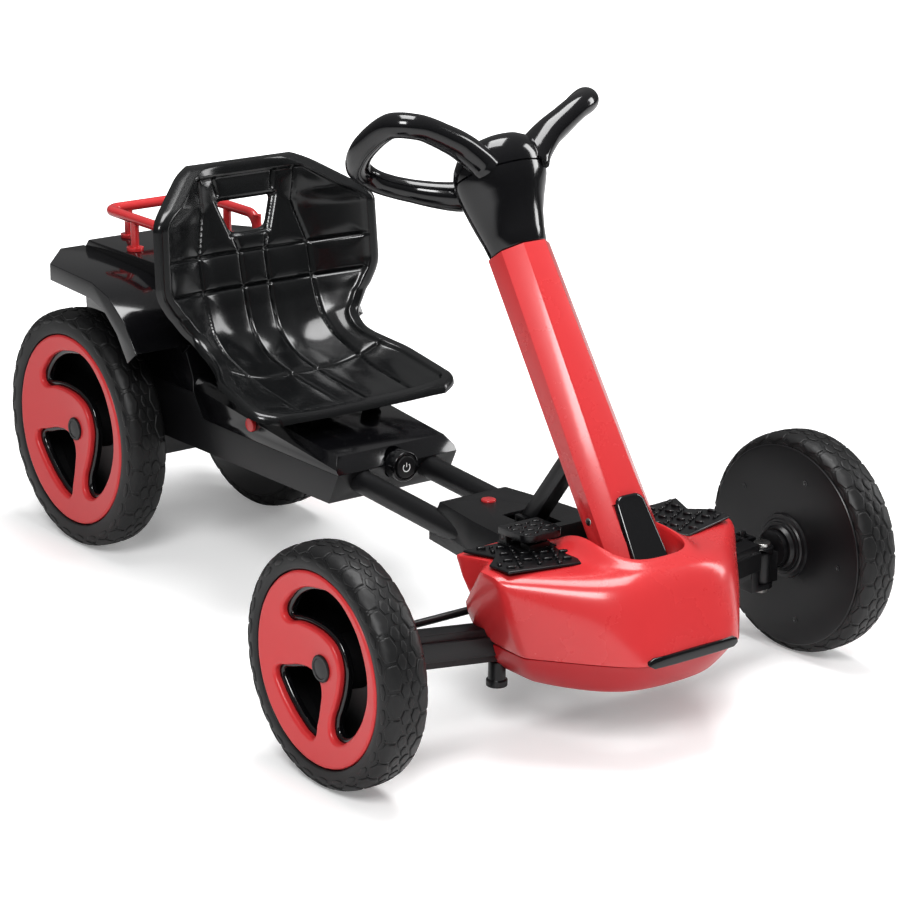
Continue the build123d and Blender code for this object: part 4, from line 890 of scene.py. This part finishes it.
NOSE_LOWER = [
    [(0, -166.5, 112), (63, -173.5, 112.5), (98, -116, 108.5), (131, -65, 106.5), (129, 16, 106.5)],
    [(0, -162, 92), (58, -157, 92), (94, -104, 90), (122, -60, 86), (125, 16, 86)],
    [(0, -143, 75), (58, -139, 75), (84, -92, 69), (100, -44, 66.5), (98, 16, 66.5)],
    [(0, -118, 69), (40, -114, 68.5), (58, -80, 66.5), (72, -36, 66.5), (72, 14, 66.5)],
]


def shell_cage(name, rings, creases, levels, thick):
    """A mirrored, subdivided shell from rings of a cage; creases maps (ring, column) pairs to sharpness."""
    points = [at(*p) for ring in rings for p in ring]
    starts = np.cumsum([0] + [len(ring) for ring in rings])
    index = {(r, c): int(starts[r]) + c for r, ring in enumerate(rings) for c in range(len(ring))}
    faces = []
    for r in range(len(rings) - 1):
        for c in range(min(len(rings[r]), len(rings[r + 1])) - 1):
            faces.append([index[r, c], index[r, c + 1], index[r + 1, c + 1], index[r + 1, c]])
    piece = mesh_piece(name, points, faces, outward=False)
    mirror_join(name, piece)
    sharp = {}
    for (start, end), amount in creases.items():
        pair = [Vector(rings[r][c]) for r, c in (start, end)]
        sharp[tuple(sorted((round(abs(p.x), 2), round(p.y, 2), round(p.z, 2)) for p in pair))] = amount
    shape = bmesh.new()
    shape.from_mesh(piece.data)
    layer = shape.edges.layers.float.new("crease_edge")
    for edge in shape.edges:
        ends = []
        for vert in edge.verts:
            co = vert.co / MM
            ends.append((round(abs(co.x), 2), round(co.y - AXLE_Y, 2), round(co.z, 2)))
        edge[layer] = sharp.get(tuple(sorted(ends)), 0.0)
    shape.to_mesh(piece.data)
    shape.free()
    modifier(piece, "SUBSURF", levels=levels, render_levels=levels)
    modifier(piece, "SOLIDIFY", thickness=thick * MM, offset=-1.0)
    modifier(piece, "BEVEL", width=0.8 * MM, segments=2, limit_method="ANGLE", angle_limit=radians(50))
    return baked(piece)


def along(ring, first, last, amount):
    return {((ring, c), (ring, c + 1)): amount for c in range(first, last)}


def nose():
    creases = {((0, 3), (1, 3)): 0.75, ((1, 3), (2, 3)): 0.85, ((0, 4), (1, 4)): 0.9, ((1, 4), (2, 4)): 0.9}
    creases |= along(2, 0, 3, 0.15) | along(2, 3, 4, 0.8) | along(2, 4, 8, 0.85) | along(6, 0, 8, 0.5)
    creases |= {((1, 5), (2, 5)): 0.8, ((1, 6), (2, 6)): 0.8, ((0, 1), (1, 1)): 0.2, ((0, 2), (1, 2)): 0.1}
    upper = painted(shell_cage("nose_upper", NOSE_UPPER, creases, 3, 3.0), red_shell)
    stands_for(upper, "nose_shell_upper", angle=50)
    creases = {((0, 3), (1, 3)): 0.6, ((1, 3), (2, 3)): 0.6} | along(2, 0, 4, 0.3)
    # The lower shell takes the red with painted shade, not a red of its own.
    lower = painted(shell_cage("nose_lower", NOSE_LOWER, creases, 3, 3.0), red_painted_shade)
    stands_for(lower, "nose_shell_lower", angle=50)


def light_strip():
    rings = []
    for x, low, high in ((-58, 114, 118), (-52, 110.5, 121), (-30, 110.5, 121), (0, 110.5, 121),
                         (30, 110.5, 121), (52, 110.5, 121), (58, 114, 118)):
        face = -172.0 + 2.2 * (x / 58) ** 4
        rings.append([at(x, face, low), at(x, face + 1.6, high), at(x, face + 9, high), at(x, face + 9, low)])
    stands_for(painted(rounded(loft("nose_strip_bar", rings), 0.8), gloss_black), "nose_strip")


# ---- foot mats ----
MAT = [(70, -78), (146, -58), (148, -30), (128, -14), (142, 20), (80, 16), (54, -44)]
MAT_MIDDLE = (100, -25)
STUD_PITCH = 9.92
STUD_INSET = 7.0            # the studs keep this far inside a mat's edge


def inside_by(outline, x, y, gap):
    """Whether a point lies inside a polygon, at least a gap away from its sides."""
    inside = False
    nearest = 1e9
    for (x0, y0), (x1, y1) in zip(outline, outline[1:] + outline[:1]):
        if (y0 > y) != (y1 > y) and x < x0 + (y - y0) * (x1 - x0) / (y1 - y0):
            inside = not inside
        dx, dy = x1 - x0, y1 - y0
        t = min(max(((x - x0) * dx + (y - y0) * dy) / (dx * dx + dy * dy), 0), 1)
        nearest = min(nearest, hypot(x - x0 - t * dx, y - y0 - t * dy))
    return inside and nearest > gap


def stud(name, long, wide, tall, round_over):
    outline = []
    for k in range(12):
        a = 2 * pi * (k + 0.5) / 12
        x = cos(a) * wide / 2 + (long - wide) / 2 * (1 if cos(a) > 0 else -1)
        outline.append((x, sin(a) * wide / 2))
    rings = [[Vector((x * s, y * s, z)) * MM for x, y in outline]
             for z, s in ((-0.4, 1.0), (tall - round_over, 1.0), (tall - round_over * 0.3, 0.93), (tall, 0.78))]
    points, faces = ring_grid(rings)
    return mesh_piece(name, points, faces)


def studs(name, outline, z, pitch, gap, material, turn=0.5):
    """Rows of bars and dots over an outline, as two meshes."""
    bar = stud("bar_" + name, 9.5, 4.4, 2.6, 1.2)
    dot = stud("dot_" + name, 4.2, 4.0, 2.6, 1.2)
    bars, dots = [], []
    for i in range(-14, 15):
        for j in range(-14, 15):
            x = MAT_MIDDLE[0] + (i * cos(turn) - j * sin(turn)) * pitch
            st = MAT_MIDDLE[1] + (i * sin(turn) + j * cos(turn)) * pitch
            if not inside_by(outline, x, st, gap):
                continue
            if (i + j) % 2 == 0:
                bars.append((at(x, st, z), turn + (pi / 2 if i % 2 else 0)))
            elif i % 2:
                dots.append((at(x, st, z), 0.0))
    pieces = [scattered("bars_" + name, bars, bar, material), scattered("dots_" + name, dots, dot, material)]
    for shape in (bar, dot):
        bpy.data.objects.remove(shape)
    return pieces


def mats():
    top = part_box("footrest_mat_left")[1].z / MM
    for node, side in (("footrest_mat_left", 1), ("footrest_mat_right", -1)):
        base = painted(rounded(cleaned(node), 1.4, 3), stud_rubber)
        pieces = [base]
        for extra in studs(node, MAT, top, STUD_PITCH, STUD_INSET, stud_rubber):
            if side < 0:
                for vert in extra.data.vertices:
                    vert.co.x = -vert.co.x
                extra.data.flip_normals()
            pieces.append(extra)
        piece = painted(joined(node + "_studded", pieces), stud_rubber)
        stands_for(piece, node)


def pedal():
    low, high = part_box("accelerator_pedal")
    pad = painted(rounded(cleaned("accelerator_pedal"), 1.6, 3), stud_rubber)
    x_mid = (low.x + high.x) / 2 / MM
    nub = stud("pedal_nub", 8.5, 3.6, 1.4, 0.8)
    spots = []
    for row in range(4):
        for col in range(4):
            st = -27 + row * 9.5
            x = x_mid - 17.5 + col * 11.5
            spots.append((at(x, st, high.z / MM - 0.4), 0.5 if (row + col) % 2 else -0.5))
    nubs = scattered("pedal_nubs", spots, nub, stud_rubber)
    bpy.data.objects.remove(nub)
    piece = painted(joined("accelerator_pedal_studded", [pad, nubs]), stud_rubber)
    stands_for(piece, "accelerator_pedal")


nose()
light_strip()
mats()
pedal()


# ---- head and handles ----
LEAN = radians(56.05)       # the column's lean above the horizontal
UP_COLUMN = Vector((0, cos(LEAN), sin(LEAN)))
FORE_COLUMN = Vector((0, -sin(LEAN), cos(LEAN)))
FOLD = at(0, -48.0, 225.0)


def on_column(x, ahead, s):
    """A point beside and ahead of the column's axis at a distance up it, in mm."""
    return FOLD + (Vector((x, 0, 0)) + FORE_COLUMN * ahead + UP_COLUMN * s) * MM


def oval(s, half_w, half_d, ahead, sides=64, power=2.0):
    ring = []
    for k in range(sides):
        a = 2 * pi * k / sides
        x, y = cos(a), sin(a)
        x = np.sign(x) * abs(x) ** (2 / power)
        y = np.sign(y) * abs(y) ** (2 / power)
        ring.append(on_column(half_w * x, ahead + half_d * y, s))
    return ring


FUNNEL = [(289.5, 31.2, 28.2, 0.0), (290.5, 31.8, 28.8, 0.0), (304, 34.0, 31.0, 0.8), (320, 38.2, 34.2, 2.0),
          (334, 43.2, 36.6, 5.0), (346, 48.0, 38.6, 8.6), (356, 51.6, 39.8, 11.6), (363, 53.0, 40.2, 13.4),
          (365.4, 53.0, 40.2, 14.0), (366.2, 52.0, 39.4, 14.2)]
DOME = [(366.6, 51.0, 38.6, 14.2), (367.4, 52.6, 40.0, 14.4), (373, 53.0, 40.4, 15.8), (381, 51.0, 39.0, 18.0),
        (389, 46.0, 35.4, 20.4), (395.5, 38.5, 30.0, 22.4), (400, 29.0, 23.0, 24.0), (402.6, 18.0, 14.0, 25.2),
        (403.4, 7.0, 6.0, 25.8)]
HANDLE = [(30, 134, 552), (37, 136, 560), (56, 139, 575), (78, 141, 587), (98, 144, 596.4), (112, 148, 600),
          (121, 155, 600.8), (126, 165, 598.4), (129, 180, 589), (131, 198, 574), (129, 212, 560), (122, 223, 547),
          (110, 227, 537), (97, 225, 529), (82, 217, 523), (64, 207, 518),
          (44, 192, 514), (24, 180, 512), (6, 170, 514)]
HANDLE_SIZE = [(22, 17), (20, 16), (16.5, 14.5), (14.5, 13.5), (13.6, 13), (13.4, 13), (13.4, 13), (13.4, 13),
               (13.4, 13), (13.4, 13), (13, 12.6), (12.6, 12), (12, 11.4), (11.6, 11), (11.6, 11), (12.2, 11.4),
               (14, 12.4), (16, 14), (16, 14)]


def head():
    rings = [oval(s, w, d, ahead) for s, w, d, ahead in FUNNEL]
    funnel = painted(loft("head_funnel_skin", rings), gloss_black)
    stands_for(funnel, "head_funnel", angle=40)
    dome = loft("head_dome_skin", [oval(s, w, d, ahead) for s, w, d, ahead in DOME])
    stands_for(painted(dome, gloss_black), "head_dome", angle=40)
    for node, side in (("handle_left", 1), ("handle_right", -1)):
        path = smooth_path([(side * x, st, z) for x, st, z in HANDLE], 6)
        keys = np.linspace(0, len(HANDLE) - 1, len(path))
        girths = np.array(HANDLE_SIZE, float)
        sizes = [[np.interp(k, range(len(HANDLE)), girths[:, i]) for i in (0, 1)] for k in keys]
        skin = swept(node + "_skin", [at(*p) for p in path], sizes, sides=28)
        stands_for(painted(skin, gloss_black), node, angle=50)


def column_cover():
    outline = []
    for x, y, towards in ((18.5, 39, 0), (-18.5, 39, 1), (-22.5, -39, 2), (22.5, -39, 3)):
        for k in range(6):
            a = pi / 2 * (towards + k / 5)
            outline.append((x - np.sign(x) * 11 + 11 * cos(a), y - np.sign(y) * 11 + 11 * sin(a)))
    piece = plate("column_cover_skin", [(outline, False)], 9.0, 3.2, segments=4)
    for vert in piece.data.vertices:
        x, y, z = vert.co / MM
        vert.co = on_column(x, 25.6 + z - (x / 24) ** 2 * 1.6, y - 26.0)
    stands_for(painted(piece, gloss_black), "column_cover", angle=40)


def power_symbol():
    low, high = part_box("power_button")
    x, z = (low.x + high.x) / 2 / MM, (low.z + high.z) / 2 / MM
    face = low.y / MM - AXLE_Y - 0.05
    arc = [at(x + 4.6 * sin(a), face, z - 0.3 + 4.6 * cos(a)) for a in np.linspace(0.75, 2 * pi - 0.75, 40)]
    ring = swept("symbol_ring", arc, [(0.6, 0.35)] * len(arc), sides=8, up=(0, 1, 0))
    bar_line = [at(x, face, z + r) for r in (0.4, 2.5, 5.2)]
    bar = swept("symbol_bar", bar_line, [(0.6, 0.35)] * 3, sides=8, up=(0, 1, 0))
    placed(painted(joined("power_symbol", [ring, bar]), symbol_white), "power_key", "black_satin", angle=50)


column_cover()
power_symbol()
head()


# ---- floor, lights and camera ----
def stage_floor():
    floor = mesh_piece("floor", [(-6, -6, 0), (6, -6, 0), (6, 6, 0), (-6, 6, 0)], [(0, 1, 2, 3)], outward=False)
    pale = finish("pale_floor", (0.88, 0.88, 0.88), 0.7, mottle=0.01, wear=0.0, depth=0.00001, specular=0.2)
    tree = pale.node_tree
    glow = tree.nodes["Principled BSDF"]
    # Painted light: the floor glows to camera rays, weakly near the kart and more strongly further away, so the far
    # floor reads white; other rays see a faint glow that lights the kart from below.
    spot = shader_node(tree, "ShaderNodeTexCoord")
    away = shader_node(tree, "ShaderNodeVectorMath", [(0, spot.outputs["Object"])], operation="LENGTH")
    far = shader_node(tree, "ShaderNodeMapRange", [
        ("Value", away.outputs["Value"]), ("From Min", 0.5), ("From Max", 2.2), ("To Min", 0.22), ("To Max", 0.9)])
    seen = shader_node(tree, "ShaderNodeLightPath")
    strength = shader_node(tree, "ShaderNodeMix", [
        ("Factor", seen.outputs["Is Camera Ray"]), ("A", 0.03), ("B", far.outputs[0])])
    tree.links.new(strength.outputs[0], glow.inputs["Emission Strength"])
    glow.inputs["Emission Color"].default_value = (1, 1, 1, 1)
    painted(floor, pale)


def softbox(name, place, aim, size, watts):
    lamp = bpy.data.lights.new(name, "AREA")
    lamp.shape = "RECTANGLE"
    lamp.size, lamp.size_y = size
    lamp.energy = watts
    holder = bpy.data.objects.new(name, lamp)
    holder.location = place
    holder.rotation_euler = (Vector(aim) - Vector(place)).to_track_quat("-Z", "Y").to_euler()
    bpy.context.scene.collection.objects.link(holder)


def studio():
    world = bpy.data.worlds.new("pale_studio")
    world.use_nodes = True
    tree = world.node_tree
    sky = shader_node(tree, "ShaderNodeTexCoord")
    height = shader_node(tree, "ShaderNodeSeparateXYZ", [("Vector", sky.outputs["Generated"])])
    dim = shader_node(tree, "ShaderNodeMapRange", [
        ("Value", height.outputs["Z"]), ("From Min", -0.1), ("From Max", 0.9), ("To Min", 0.08), ("To Max", 0.34)])
    seen = shader_node(tree, "ShaderNodeLightPath")
    bright = shader_node(tree, "ShaderNodeMix", [
        ("Factor", seen.outputs["Is Camera Ray"]), ("A", dim.outputs[0]), ("B", 1.0)])
    tree.links.new(bright.outputs[0], tree.nodes["Background"].inputs["Strength"])
    tree.nodes["Background"].inputs["Color"].default_value = (1, 1, 1, 1)
    bpy.context.scene.world = world
    bpy.context.scene.view_settings.view_transform = "Standard"
    bpy.context.scene.view_settings.look = "Medium High Contrast"
    softbox("key_box", (-2.2, -2.4, 2.9), (0, 0, 0.3), (1.4, 1.4), 88)
    softbox("top_box", (0.3, -0.2, 3.2), (0, 0, 0.2), (1.8, 1.4), 64)
    softbox("side_box", (3.0, -1.2, 1.5), (0, 0, 0.3), (0.8, 1.8), 30)


def photo_camera():
    camera = bpy.data.cameras.new("camera")
    camera.lens = 117.5
    camera.sensor_width = 36.0
    camera.clip_end = 50
    holder = bpy.data.objects.new("camera", camera)
    right = Vector((0.7911, -0.6117, 0.0087))
    up = Vector((0.1744, 0.2391, 0.9552))
    back = right.cross(up).normalized()
    up = back.cross(right).normalized()
    place = Matrix((right.normalized(), up, back)).transposed().to_4x4()
    place.translation = (-1.8419, -2.5118, 1.1543)
    holder.matrix_world = place
    bpy.context.scene.collection.objects.link(holder)
    bpy.context.scene.camera = holder


stage_floor()
studio()
photo_camera()
